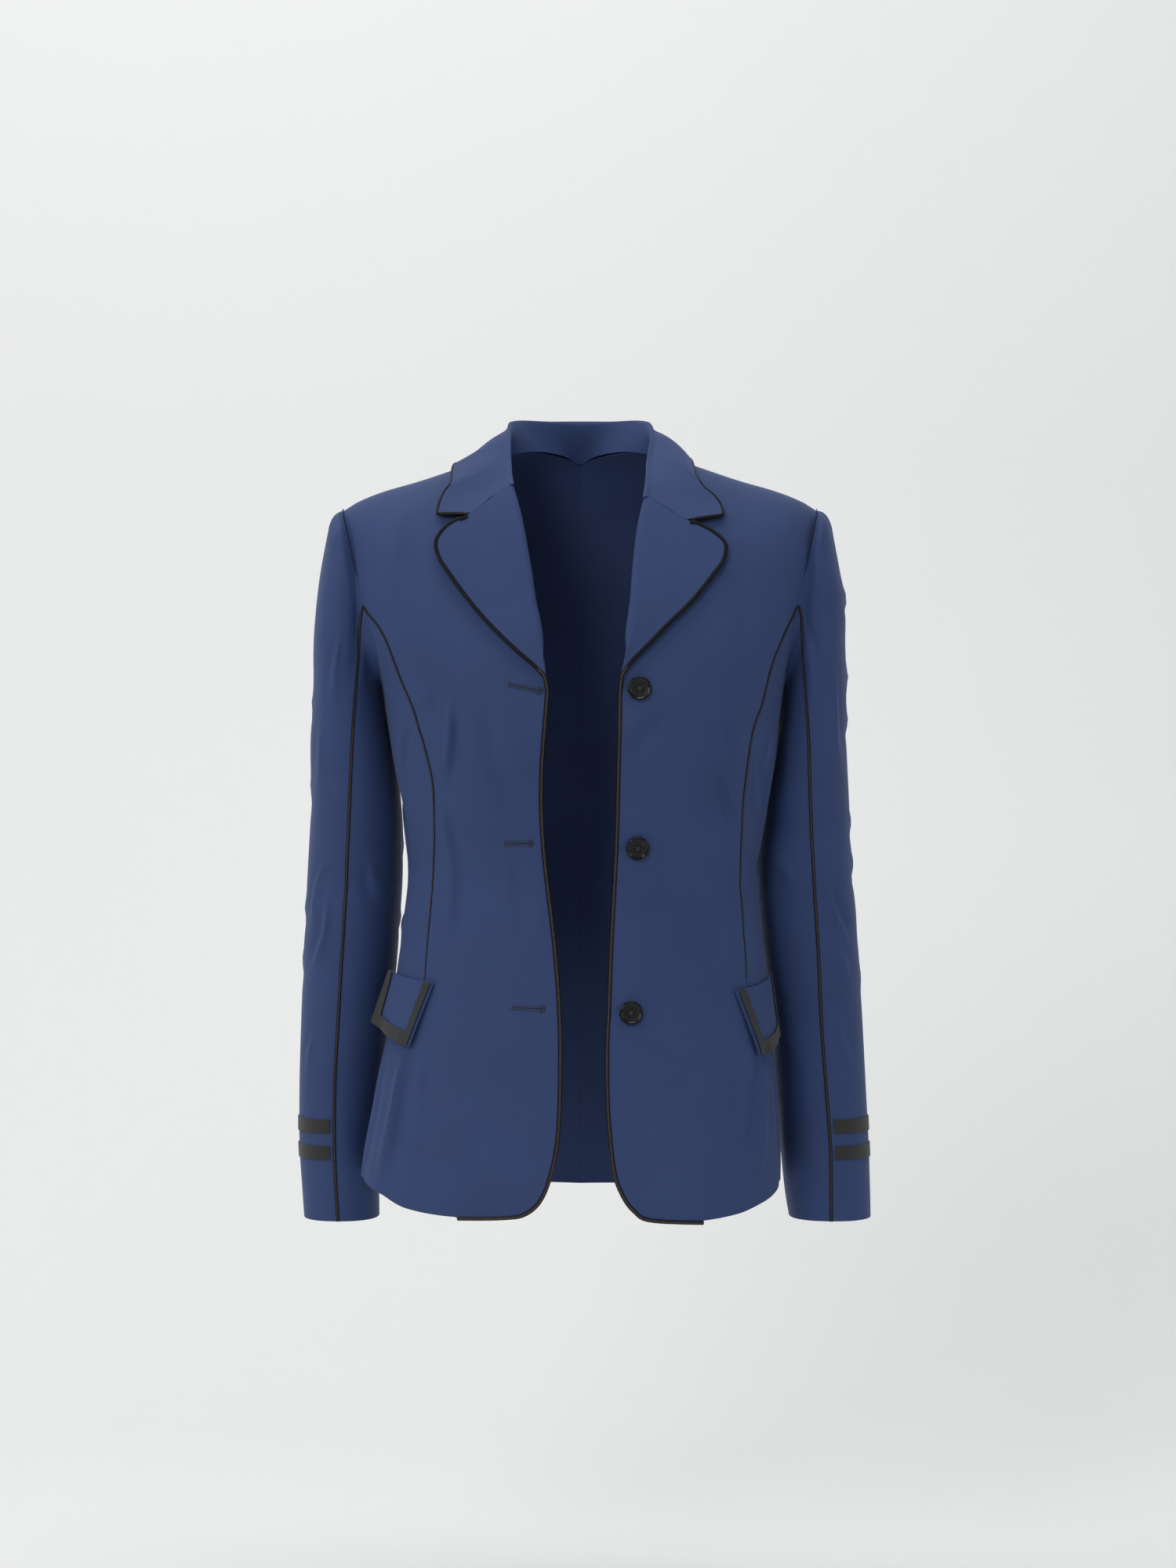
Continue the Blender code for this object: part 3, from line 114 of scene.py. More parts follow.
# Half widths of the body at each height, its widest line, and how far it comes forward and back
bodySizes = table(
    "z left right sideY front back square",
    (-670, 193, 170, -36, -113, 108, 2.3),
    (-620, 187, 171.5, -33, -112, 110, 2.3),
    (-560, 176, 168.5, -27, -109, 107, 2.3),
    (-500, 166, 164, -21, -104, 98, 2.3),
    (-440, 157.5, 160.5, -17, -99, 85, 2.3),
    (-400, 152.5, 155.5, -15, -97, 78, 2.3),
    (-355, 148, 153.5, -14, -98, 76, 2.3),
    (-310, 151.5, 160.5, -12, -105, 81, 2.35),
    (-260, 161.5, 169, -8, -114, 91, 2.45),
    (-225, 167, 173, -3, -118, 97, 2.6),
    (-195, 171.5, 177, 2, -117, 101, 2.9),
    (-160, 180, 183.5, 4, -111, 103, 3.4),
    (-130, 187.5, 190, 5, -103, 103, 3.9),
    (-100, 193, 195, 6, -95, 100, 4.2),
)
# The shoulder line, and its run on to the back of the neck
ridgeLine = table(
    "x y z",
    (0, 50, 20), (40, 24, 13), (75, 6, 2), (107, 6, -9), (136, 6, -19), (168, 6, -28.5),
    (190, 6, -37), (205.5, 6, -45), (215, 6, -50),
)
hemLevels = table(
    "angle left right",
    (0, -646, -650), (31, -646, -650), (48, -640, -645), (61, -629, -637), (90, -618, -623),
    (120, -625, -629), (150, -636, -638), (180, -640, -640),
)
princessSeam = table(
    "z left right",
    (-455, 132.5, 141.5), (-417, 129.7, 140.0), (-389, 127.1, 138.2), (-358, 124.8, 136.5),
    (-329, 123.6, 137.3), (-307, 123.7, 137.9), (-279, 125.0, 140.5), (-251, 131.5, 144.0),
    (-232, 137.0, 148.0), (-215, 142.5, 154.3), (-197, 150.5, 158.7), (-179, 157.5, 163.6),
    (-161, 164.5, 171.0), (-146, 174.0, 178.0), (-130, 183.0, 185.4),
)
# Front edge of each front panel, from the end of the collar seam to the end of the piping
frontEdge = {
    -1: table(
        "x z",
        (59.7, -30), (51.7, -59.5), (45.1, -95), (39.5, -126), (32.4, -166.6), (28.5, -197),
        (33.6, -272), (32.4, -335), (23.2, -416), (19, -470), (18, -512), (19.2, -568),
        (23.8, -601), (33, -628), (46, -641), (64, -644.4), (103, -645.5),
    ),
    1: table(
        "x z",
        (57, -41.5), (51.5, -66), (47.8, -95), (44.5, -131), (37.6, -183), (35.4, -200),
        (34.4, -248), (32.2, -335), (28, -416), (26, -470), (24.3, -510), (25.4, -560),
        (30, -605), (37, -626), (47, -639.5), (60, -646.5), (104, -649.5),
    ),
}
# Outer edge of each lapel, from the notch round its corner to the top button
lapelEdge = {
    -1: table(
        "x z",
        (90.5, -56), (97.5, -59.5), (104.5, -63.2), (110.8, -67.4), (116.5, -73.2),
        (119.6, -80.5), (119, -88), (115, -96), (107.5, -107), (97, -121.5), (83, -139),
        (67, -156), (51, -171), (36, -184), (28.5, -192),
    ),
    1: table(
        "x z",
        (88.5, -61.5), (96, -64.8), (104, -68.6), (112, -73.2), (119, -79.3), (121.8, -86),
        (119.6, -94), (110, -107.5), (92.5, -129), (74, -147), (58.5, -163), (46, -175.5),
        (38, -184.5), (34, -191),
    ),
}
# Sections of the collar from the gorge seam (0) to the centre back (1): its fold line, then its outer edge
collarSections = {
    -1: table(
        "s foldX foldY foldZ edgeX edgeZ behind lift dip bulge",
        (0.0, 58.5, -66, -28, 119.5, -55, 0, 4.8, 6, 0.5),
        (0.11, 59.5, -56, -22, 117.5, -44, 0, 3.8, 3, 1.2),
        (0.22, 60.2, -45, -13, 113, -34.5, 0, 4.0, 2, 2.2),
        (0.33, 60.8, -30, -2, 107, -27, 0, 4.6, 1, 3.2),
        (0.5, 61.5, -2, 18, 97, -12, 0, 3.8, 0, 3.0),
        (0.64, 61.5, 21, 30, 82, -15, 1, 5.2, 0, 3.4),
        (0.76, 57.5, 40, 35.5, 64, -15, 1, 4.2, 0, 3.4),
        (0.88, 36, 57, 36.5, 36, -12, 1, 2.6, 0, 3.4),
        (1.0, 0, 64, 37, 0, -10, 1, 2.6, 0, 3.4),
    ),
    1: table(
        "s foldX foldY foldZ edgeX edgeZ behind lift dip bulge",
        (0.0, 55.8, -74, -39, 120, -56, 0, 4.8, 6, 0.5),
        (0.11, 57, -62, -29, 117.5, -46.5, 0, 4.0, 3, 2.0),
        (0.22, 57.8, -48, -17, 111, -38.5, 0, 4.6, 2, 3.2),
        (0.33, 58.4, -32, -5, 101.5, -30.5, 0, 4.8, 1, 4.2),
        (0.5, 62.2, -2, 18.2, 91.5, -11.2, 0, 4.4, 0, 4.5),
        (0.64, 61.5, 21, 30, 79, -15, 1, 5.2, 0, 4.0),
        (0.76, 54.5, 40, 35.5, 62, -15, 1, 4.2, 0, 3.4),
        (0.88, 35, 57, 36.5, 35, -12, 1, 2.6, 0, 3.4),
        (1.0, 0, 64, 37, 0, -10, 1, 2.6, 0, 3.4),
    ),
}
# Each sleeve's outer and inner edge and front seam as seen from the front, and its depth
sleeveSizes = {
    -1: table(
        "z outer inner seam middle depth",
        (-670, 241.5, 176.5, 209, 41, 48),
        (-640, 243.8, 177, 211, 43, 49),
        (-600, 246.5, 178.5, 212.8, 45, 50),
        (-545, 246.7, 173, 212.6, 46, 52),
        (-493, 245.2, 167, 209.8, 44, 53),
        (-443, 243, 161.5, 206.5, 40, 55),
        (-396, 241, 158, 203.5, 38, 56),
        (-347, 238, 155, 200.8, 34, 57),
        (-296, 235, 157, 198, 28, 59),
        (-247, 235, 164, 195.2, 20, 61),
        (-200, 231.8, 172.5, 191.8, 12, 61),
        (-160, 231.3, 176, 188, 8, 60),
        (-126, 228.6, 176, 184, 6, 59),
        (-97, 224.8, 176, 182, 6, 58),
        (-60, 217.8, 176, 180, 6, 50),
        (-45, 214, 176, 180, 6, 45),
    ),
    1: table(
        "z outer inner seam middle depth",
        (-670, 255, 185, 217.6, 41, 48),
        (-640, 254.5, 180, 217.4, 43, 49),
        (-600, 253.5, 176, 217, 45, 50),
        (-545, 250.8, 171, 213, 46, 52),
        (-493, 248, 167, 209, 44, 53),
        (-443, 245, 161.5, 206.5, 40, 55),
        (-396, 241.8, 156, 203.8, 38, 56),
        (-347, 237.5, 154, 200.6, 34, 57),
        (-296, 234.8, 162, 197.8, 28, 59),
        (-247, 232, 171.5, 195.8, 20, 61),
        (-200, 231.5, 178, 193, 12, 61),
        (-160, 230, 180, 189.5, 8, 60),
        (-126, 230, 180, 186.4, 6, 59),
        (-97, 225, 180, 184, 6, 58),
        (-60, 218, 180, 182, 6, 50),
        (-45, 214, 180, 182, 6, 45),
    ),
}
# Soft folds across each sleeve: middle of the fold, its slant in z for a full turn, half sizes and depth
sleeveFolds = {
    -1: table(
        "z angle slant across along depth",
        (-268, 110, 20, 60, 9, 1.6),
        (-330, 130, -40, 55, 11, 2.2),
        (-372, 80, 60, 60, 13, 2.6),
        (-405, 30, -50, 50, 12, 1.6),
        (-350, 250, 30, 60, 14, 2.0),
        (-470, 150, 40, 60, 16, 1.6),
    ),
    1: table(
        "z angle slant across along depth",
        (-250, 100, -20, 60, 9, 1.4),
        (-322, 120, 30, 55, 11, 2.0),
        (-380, 70, -60, 60, 13, 2.4),
        (-412, 40, 40, 50, 12, 1.6),
        (-360, 255, -30, 60, 14, 2.0),
        (-480, 140, -40, 60, 16, 1.6),
    ),
}
# Soft folds in the body: middle, half sizes in degrees and millimetres, and depth
bodyFolds = {
    -1: table(
        "angle z lean across along depth",
        (41, -262, -0.9, 7, 30, 2.2),
        (70, -350, 0.6, 14, 12, 1.8),
        (30, -372, 0.3, 10, 14, 1.4),
        (128, -352, -0.4, 16, 12, 2.0),
        (152, -385, 0.2, 10, 10, 1.6),
        (140, -210, 0.8, 10, 40, 1.8),
    ),
    1: table(
        "angle z lean across along depth",
        (44, -300, -1.0, 7, 26, 2.2),
        (72, -362, 0.5, 14, 12, 1.8),
        (34, -385, 0.3, 10, 14, 1.4),
        (130, -366, -0.4, 16, 12, 2.0),
        (150, -345, 0.2, 10, 10, 1.6),
        (142, -220, 0.8, 10, 40, 1.8),
    ),
}
# Corners of each pocket flap: angle round the body, height, stand-off, and flare of the rear edge
flapCorners = {
    -1: table(
        "corner angle z lift flare",
        ("topFront", 47.5, -450.5, 2.6, 0),
        ("topRear", 86, -442.5, 2.6, 3.5),
        ("lowFront", 55.0, -506, 5.5, 0),
        ("lowRear", 88, -489.5, 6.0, 9.5),
    ),
    1: table(
        "corner angle z lift flare",
        ("topFront", 50.5, -457.5, 2.6, 0),
        ("topRear", 92, -445, 2.6, 0.5),
        ("lowFront", 61.3, -514.5, 5.5, 0),
        ("lowRear", 96, -497, 6.0, 1.5),
    ),
}
buttonPlaces = table("x z", (49.7, -202.5), (48.3, -336.2), (42.7, -474.8))
cuffRibbonTops = (-573.0, -596.0)
# The hidden seam between side and back: angle round the body and z
backSeam = ((133, -185), (134, -260), (137, -340), (137, -400), (136, -447))

# Creases in the body cloth: from one end to the other as angle and level, then half width, height and bow
bodyCreases = {
    -1: table(
        "a0 z0 a1 z1 wide high bow",
        (37, -217, 45, -281, 3.8, 1.5, 0.05),
        (48, -292, 44, -424, 6.5, 1.1, 0.03),
        (56, -232, 70, -288, 5.0, 1.3, -0.08),
        (60, -509, 62, -622, 8.5, 2.2, 0.02),
        (50, -510, 46, -606, 9.0, 0.8, -0.03),
        (39, -74, 46, -125, 7.0, 0.9, 0.10),
        (27, -214, 17, -333, 10.0, -1.2, -0.06),
        (22, -341, 18, -424, 9.0, -0.8, 0.04),
        (43, -199, 50, -242, 4.0, 0.8, 0.05),
        (104, -292, 80, -372, 8.0, 1.0, 0.14),
        (88, -408, 122, -352, 8.0, 1.5, 0.10),
        (84, -500, 90, -640, 12.0, 1.3, 0.03),
        (108, -470, 112, -652, 14.0, 1.7, 0.02),
        (127, -440, 130, -640, 12.0, 1.4, -0.03),
        (150, -420, 152, -600, 13.0, 1.1, 0.03),
        (168, -395, 166, -520, 8.0, 0.8, -0.04),
        (116, -172, 128, -262, 7.0, 1.4, 0.14),
        (124, -150, 143, -226, 6.0, 1.0, 0.12),
        (132, -330, 168, -352, 7.5, 1.2, 0.10),
        (126, -372, 158, -362, 6.0, 0.9, -0.10),
        (144, -398, 172, -386, 7.0, 0.8, 0.12),
        (150, -110, 172, -92, 9.0, 0.7, 0.10),
        (62, -112, 60, -168, 5.0, 0.8, 0.08),
    ),
    1: table(
        "a0 z0 a1 z1 wide high bow",
        (42, -224, 50, -272, 3.8, 1.4, -0.05),
        (41, -266, 55, -330, 4.0, 1.6, -0.05),
        (58, -268, 69, -309, 3.9, 1.3, 0.08),
        (39, -127, 48, -198, 6.0, 1.0, -0.05),
        (24, -222, 14, -265, 8.0, -1.2, 0.08),
        (53, -365, 48, -441, 6.5, 1.0, 0.03),
        (68, -509, 56, -621, 8.5, 2.0, -0.02),
        (67, -238, 65, -278, 4.0, 1.0, 0.05),
        (54, -508, 52, -605, 9.0, 0.8, 0.03),
        (86, -178, 92, -246, 9.0, 0.8, -0.03),
        (104, -312, 84, -378, 8.0, 1.0, -0.12),
        (90, -400, 124, -362, 8.0, 1.3, -0.10),
        (90, -490, 95, -650, 13.0, 1.2, -0.03),
        (112, -465, 115, -640, 13.0, 1.6, -0.02),
        (130, -450, 134, -650, 12.0, 1.3, 0.03),
        (151, -415, 155, -610, 13.0, 1.2, -0.03),
        (117, -180, 130, -250, 7.0, 1.2, -0.14),
        (126, -156, 146, -236, 6.0, 1.1, -0.12),
        (130, -346, 165, -330, 7.5, 1.1, -0.10),
        (128, -384, 160, -398, 6.0, 0.9, 0.10),
        (152, -104, 174, -96, 9.0, 0.6, -0.10),
    ),
}
# Creases in the sleeves, in the same order: angle round the sleeve, 90 at the front
sleeveCreases = {
    -1: table(
        "a0 z0 a1 z1 wide high bow",
        (63, -346, 40, -403, 4.0, 1.5, 0.12),
        (61, -380, 43, -446, 4.5, 1.6, -0.10),
        (86, -160, 73, -216, 5.0, 0.9, 0.05),
        (55, -500, 43, -531, 4.5, 0.9, 0.08),
        (22, -50, 75, -66, 5.0, -1.0, 0.10),
        (50, -230, 38, -294, 6.0, 0.8, -0.05),
        (128, -130, 108, -214, 7.0, 0.8, -0.10),
        (112, -352, 138, -378, 6.0, 0.9, 0.12),
        (-30, -196, 28, -212, 6.0, 1.2, 0.10),
        (-34, -300, 20, -284, 7.0, 1.4, -0.10),
        (-28, -372, 24, -392, 6.0, 1.6, 0.12),
        (-24, -448, 26, -436, 6.5, 1.2, -0.10),
        (224, -330, 292, -352, 7.0, 1.3, 0.12),
        (236, -392, 300, -372, 6.5, 1.2, -0.10),
        (216, -440, 280, -452, 7.5, 1.0, 0.10),
        (312, -300, 350, -352, 7.0, 0.8, 0.12),
        (180, -330, 216, -366, 6.0, 1.1, -0.12),
        (170, -402, 222, -384, 6.0, 1.2, 0.10),
        (244, -110, 268, -200, 7.0, 1.0, 0.12),
        (150, -560, 156, -640, 8.0, 0.8, 0.04),
    ),
    1: table(
        "a0 z0 a1 z1 wide high bow",
        (65, -375, 36, -426, 4.5, 1.9, -0.10),
        (77, -414, 49, -456, 5.5, 0.9, 0.10),
        (59, -197, 46, -260, 5.0, 0.9, -0.05),
        (65, -483, 54, -524, 4.5, 0.8, -0.08),
        (52, -50, 24, -74, 5.0, -0.8, 0.10),
        (126, -146, 108, -226, 7.0, 0.8, 0.10),
        (110, -366, 138, -346, 6.0, 0.9, -0.12),
        (-32, -126, 30, -112, 5.0, 1.8, 0.10),
        (-30, -186, 26, -198, 6.0, 2.0, -0.12),
        (-28, -230, 30, -220, 5.5, 1.5, 0.10),
        (-34, -304, 24, -314, 5.0, 2.2, 0.12),
        (-26, -366, 28, -350, 7.0, 1.8, -0.10),
        (-30, -440, 20, -452, 7.5, 1.2, 0.10),
        (220, -342, 290, -328, 7.0, 1.2, -0.12),
        (232, -384, 296, -402, 6.5, 1.3, 0.10),
        (218, -452, 276, -438, 7.5, 0.9, -0.10),
        (310, -316, 352, -362, 7.0, 0.8, -0.12),
        (178, -350, 220, -332, 6.0, 1.0, 0.12),
        (172, -396, 218, -414, 6.0, 1.2, -0.10),
        (242, -120, 266, -214, 7.0, 0.9, -0.12),
        (148, -566, 154, -646, 8.0, 0.7, -0.04),
    ),
}
# Millimetres along the cloth for each degree round the body and round a sleeve
bodyReach, sleeveReach = math.radians(170.0), math.radians(49.0)


def read(values, name, at, key="z"):
    keys, column = np.array(values[key], float), np.array(values[name], float)
    last = len(keys) - 1
    at = np.clip(at, keys[0], keys[last])
    low, high = np.maximum(np.arange(last + 1) - 1, 0), np.minimum(np.arange(last + 1) + 1, last)
    slope = (column[high] - column[low]) / (keys[high] - keys[low])
    i = np.clip(np.searchsorted(keys, at, "left") - 1, 0, last - 1)
    span = keys[i + 1] - keys[i]
    return hermite(column[i], column[i + 1], slope[i] * span, slope[i + 1] * span, (at - keys[i]) / span)


def hermite(start, end, out, into, t):
    value = (2 * t**3 - 3 * t**2 + 1) * start + (3 * t**2 - 2 * t**3) * end
    return value + (t**3 - 2 * t**2 + t) * out + (t**3 - t**2) * into


def unit(vectors):
    return vectors / np.maximum(np.linalg.norm(vectors, axis=-1, keepdims=True), 1e-9)


def dot(a, b):
    return np.sum(a * b, axis=-1, keepdims=True)


def blend(a, b, share):
    return a + (b - a) * share


def stacked(x, y, z):
    return np.stack(np.broadcast_arrays(x, y, z), axis=-1)


def unitArc(angle, square):
    across, along = np.sin(angle), np.cos(angle)
    size = (np.abs(across) ** square + np.abs(along) ** square) ** (-1 / square)
    return across * size, along * size


def soft(distance):
    return np.exp(-distance * distance)


# Depth of the broad folds that the solids have too
def foldDepth(folds, turned, z, lean):
    total = 0.0
    for row in range(len(folds["z"])):
        near = turned(folds["angle"][row])
        drop = z - folds["z"][row] - folds[lean[0]][row] * near / lean[1]
        across, along = near / folds["across"][row], drop / folds["along"][row]
        total = total + folds["depth"][row] * soft(across) * soft(along)
    return total


# Height of the fine creases: a soft ridge with a shallow trough beside it, fading at both ends
def creaseHeight(creases, turned, z, reach):
    total = 0.0
    for a0, z0, a1, z1, wide, high, bow in zip(*creases.values()):
        x, y = turned(a0) * reach, z - z0
        dx, dy = (a1 - a0) * reach, z1 - z0
        length = math.hypot(dx, dy)
        along = (x * dx + y * dy) / length**2
        inside = np.clip(along, 0, 1)
        off = (x * dy - y * dx) / length - bow * length * 4 * inside * (1 - inside)
        grow = wide * (0.7 + 0.6 * inside)
        fade = soft(np.maximum(np.abs(along - 0.46) - 0.16, 0) / 0.26)
        trough = 0.62 * soft((off - 1.75 * grow) / (1.25 * grow))
        total = total + high * fade * (soft(off / grow) - trough)
    return total * cloth["creaseScale"]


def bodyFold(side, angle, z):
    degrees = np.degrees(angle)
    return foldDepth(bodyFolds[side], lambda middle: degrees - middle, z, ("lean", 1))


def ringPoint(side, angle, z):
    across, along = unitArc(angle, read(bodySizes, "square", z))
    half = read(bodySizes, sides[side], z)
    middle = read(bodySizes, "sideY", z)
    end = np.where(along > 0, read(bodySizes, "front", z), read(bodySizes, "back", z))
    fold = 1 - bodyFold(side, angle, z) / half
    return stacked(side * half * across * fold, middle + (end - middle) * np.abs(along) * fold, z)


def ridgePoint(side, angle):
    across = unitArc(angle, read(bodySizes, "square", yokeZ))[0] * shoulderHalf
    x = np.abs(across)
    return stacked(side * across, read(ridgeLine, "y", x, "x"), read(ridgeLine, "z", x, "x"))


def ridgeAngle(x):
    ratio = np.minimum(x / shoulderHalf, 1.0)
    square = read(bodySizes, "square", yokeZ)
    return np.arctan2(ratio, (1 - ratio**square) ** (1 / square))


# Outside of the body, by the angle round it and the height over the yoke line, up to the shoulder ridge
def bodyPoint(side, angle, height):
    angle, height = np.broadcast_arrays(np.asarray(angle, float), np.asarray(height, float))
    low = ringPoint(side, angle, yokeZ + np.minimum(height, 0))
    rise = np.clip(height / yokeRise, 0, 1)[..., None]
    foot = ringPoint(side, angle, yokeZ)
    slope = (foot - ringPoint(side, angle, yokeZ - 4)) / 4
    top = ridgePoint(side, angle)
    corner = foot + slope * (top - foot)[..., 2:]
    corner[..., 2] = top[..., 2]
    high = (1 - rise) ** 2 * foot + 2 * rise * (1 - rise) * corner + rise**2 * top
    return np.where((height <= 0)[..., None], low, high)


def bodyNormal(side, angle, height):
    angle, height = np.broadcast_arrays(np.asarray(angle, float), np.asarray(height, float))
    reach = 0.02
    high = np.minimum(height + 0.5, yokeRise)
    level = np.minimum(height, yokeRise - 3)
    around = bodyPoint(side, angle + reach, level) - bodyPoint(side, angle - reach, level)
    up = bodyPoint(side, angle, high) - bodyPoint(side, angle, high - 1)
    return unit(np.cross(around, up) * side)


# Outside of the body cloth with its fine creases
def clothPoint(side, angle, height):
    degrees = np.degrees(angle)
    z = yokeZ + np.asarray(height, float)
    rise = creaseHeight(bodyCreases[side], lambda start: degrees - start, z, bodyReach)
    return bodyPoint(side, angle, height) + bodyNormal(side, angle, height) * np.asarray(rise)[..., None]


# Points on the cloth, or on the body under its creases, and their directions
def onBody(side, places, surface=clothPoint):
    angle, height = places[..., 0], places[..., 1]
    return surface(side, angle, height), bodyNormal(side, angle, height)


# Angles and heights at which the front, or the back, has these half widths and levels
def spots(side, x, z, behind=False):
    x, z = np.abs(np.asarray(x, float)), np.asarray(z, float)
    ratio = np.minimum(x / read(bodySizes, sides[side], z), 0.999)
    square = read(bodySizes, "square", z)
    angle = np.arctan2(ratio, (1 - ratio**square) ** (1 / square))
    angle = np.where(behind, math.pi - angle, angle)
    height = z - yokeZ
    height = np.where(height > 0, height * yokeRise / (read(ridgeLine, "z", x, "x") - yokeZ), height)
    for _ in range(30):
        point = bodyPoint(side, angle, height)
        miss = np.stack((x - side * point[..., 0], z - point[..., 2]), axis=-1)
        if np.abs(miss).max() < 0.01:
            break
        around = (bodyPoint(side, angle + 0.005, height) - bodyPoint(side, angle - 0.005, height)) / 0.01
        up = bodyPoint(side, angle, height + 0.5) - bodyPoint(side, angle, height - 0.5)
        slopes = np.stack((side * around[..., 0], side * up[..., 0], around[..., 2], up[..., 2]), axis=-1)
        slopes = slopes.reshape(slopes.shape[:-1] + (2, 2))
        step = np.einsum("...ij,...j->...i", np.linalg.pinv(slopes, rcond=1e-3), miss)
        angle = angle + np.clip(step[..., 0], -0.1, 0.1)
        height = np.minimum(height + np.clip(step[..., 1], -15, 15), yokeRise)
    return np.stack((angle, height), axis=-1)


# The armhole seam: 0 is the shoulder, then round by the front to the underarm and the back
def armholeSpot(at):
    quarter = math.pi / 2
    near = (at + math.pi) % turn - math.pi
    spread = np.sign(near) * quarter * (np.abs(near) / quarter) ** armholeSpread
    at = np.where(np.abs(near) < quarter, spread, at)
    sweep = np.where(np.sin(at) >= 0, armFrontSweep, armBackSweep)
    drop = np.cos(at)
    height = drop * np.where(drop > 0, yokeRise, underarmDrop)
    return np.stack((quarter - sweep * np.sin(at), height), axis=-1)


# Points at even distances along a line of short steps
def even(points, count):
    steps = np.linalg.norm(np.diff(points, axis=0), axis=1)
    reached = np.concatenate(([0.0], np.cumsum(steps)))
    wanted = np.linspace(0, reached[-1], count + 1)
    return np.stack([np.interp(wanted, reached, points[:, k]) for k in range(points.shape[1])], axis=1)


def smoothLine(points, count):
    points = np.array(points, float)
    a, b = points[:-1], points[1:]
    before, after = np.concatenate((points[:1], points[:-2])), np.concatenate((points[2:], points[-1:]))
    t = (np.arange(48) / 48)[:, None, None]
    fine = hermite(a, b, (b - before) / 2, (after - a) / 2, t)
    fine = fine.transpose(1, 0, 2).reshape(-1, points.shape[1])
    return even(np.concatenate((fine, points[-1:])), count)


def straight(a, b, count):
    return np.linspace(a, b, count + 1)


def join(*lines):
    return np.concatenate([lines[0]] + [line[1:] for line in lines[1:]])


# Grid between four edges: rows run from left to right, and bends of the ends fade inwards
def fill(top, bottom, left, right):
    v = np.linspace(0, 1, len(left))[:, None, None]
    u = np.linspace(0, 1, len(top))[:, None]
    topBend = top - blend(top[0], top[-1], u)
    bottomBend = bottom - blend(bottom[0], bottom[-1], u)
    return blend(left[:, None], right[:, None], u) + topBend * (1 - v) ** 3 + bottomBend * v**3


def hemLine(side, start, end, count):
    angles = np.linspace(start, end, count + 1)
    return np.stack((angles, read(hemLevels, sides[side], np.degrees(angles), "angle") - yokeZ), axis=-1)


def armholeLine(start, end, count):
    return armholeSpot(np.radians(np.linspace(start, end, count + 1)))


# The piped seam from the front notch of the armhole to the pocket
def princessLine(side, count):
    line = spots(side, princessSeam[sides[side]][::-1], princessSeam["z"][::-1])
    line[0] = armholeSpot(math.pi / 2)
    return smoothLine(line, count)


def frontEdgeLine(side, fine):
    edge = frontEdge[side]
    points = smoothLine(list(zip(edge["x"], edge["z"])), 1500)
    cuts = [0] + [int(np.argmax(points[:, 1] < level)) for level in frontEdgeLevels]
    beyond = (points[:, 0] > frontCornerEnd) & (np.arange(len(points)) > cuts[-1])
    cuts += [int(np.argmax(beyond)), len(points) - 1]
    counts = (armholeRows, upperRows, skirtRows - cornerRows - 1, cornerRows, 1)
    parts = [even(points[a : b + 1], count * fine) for a, b, count in zip(cuts, cuts[1:], counts)]
    line = join(*parts)
    return spots(side, line[:, 0], line[:, 1])


# Places of one half of the body: rows downwards, columns from the front edge to the centre back
def bodyGrid(side, fine):
    edge = frontEdgeLine(side, fine)
    gorge = edge[0]
    neck = np.array((ridgeAngle(neckHalf), yokeRise))
    backNeck = np.array((math.pi - neck[0], yokeRise))
    nape = np.array((math.pi, backNeckHeight))
    angles = ridgeAngle(np.linspace(neckHalf, shoulderHalf, shoulderCells * fine + 1))
    shoulder = np.stack((angles, np.full_like(angles, yokeRise)), axis=-1)
    backShoulder = np.stack((math.pi - angles[::-1], np.full_like(angles, yokeRise)), axis=-1)
    topFront = join(straight(gorge, neck, gorgeCells * fine), shoulder)
    topBack = join(backShoulder, straight(backNeck, nape, backNeckCells * fine))

    princess = princessLine(side, upperRows * fine)
    hemAngles = (hemPrincessAngle, hemSideAngle, hemBackSeamAngle)
    lowPrincess, hemSide, backHem = (math.radians(angle) for angle in hemAngles)
    pocket = np.array((math.radians(pocketSide[0]), pocketSide[1] - yokeZ))
    seamStart = armholeSpot(1.5 * math.pi)
    seamPlaces = [(math.radians(a), z - yokeZ) for a, z in backSeam]
    hiddenSeam = smoothLine(np.concatenate((seamStart[None], seamPlaces)), upperRows * fine)
    down = skirtRows * fine

    frontHem = hemLine(side, edge[-1][0], lowPrincess, (gorgeCells + shoulderCells) * fine)
    frontHem[0] = edge[-1]
    skirtSeam = straight(princess[-1], frontHem[-1], down)
    front = fill(topFront, frontHem, edge, join(armholeLine(0, 90, armholeRows * fine), princess, skirtSeam))

    early, late = sideFrontCells * fine, sideBackCells * fine
    sideHem = join(hemLine(side, lowPrincess, hemSide, early), hemLine(side, hemSide, backHem, late))
    sideRight = join(hiddenSeam, straight(hiddenSeam[-1], sideHem[-1], down))
    middle = fill(armholeLine(90, 270, early + late), sideHem, join(princess, skirtSeam), sideRight)
    for j in range(1, early + late):
        if j < early:
            line = blend(princess[-1], pocket, j / early)
        else:
            line = blend(pocket, hiddenSeam[-1], (j - early) / late)
        settleColumn(middle, j, line, upperRows * fine)

    backHemLine = hemLine(side, backHem, math.pi, (shoulderCells + backNeckCells) * fine)
    yoke, waist = np.array((math.pi, 0.0)), np.array((math.pi, backWaistZ - yokeZ))
    centre = join(
        straight(nape, yoke, armholeRows * fine),
        straight(yoke, waist, upperRows * fine),
        straight(waist, backHemLine[-1], down),
    )
    back = fill(topBack, backHemLine, join(armholeLine(360, 270, armholeRows * fine), sideRight), centre)
    return front, middle, back


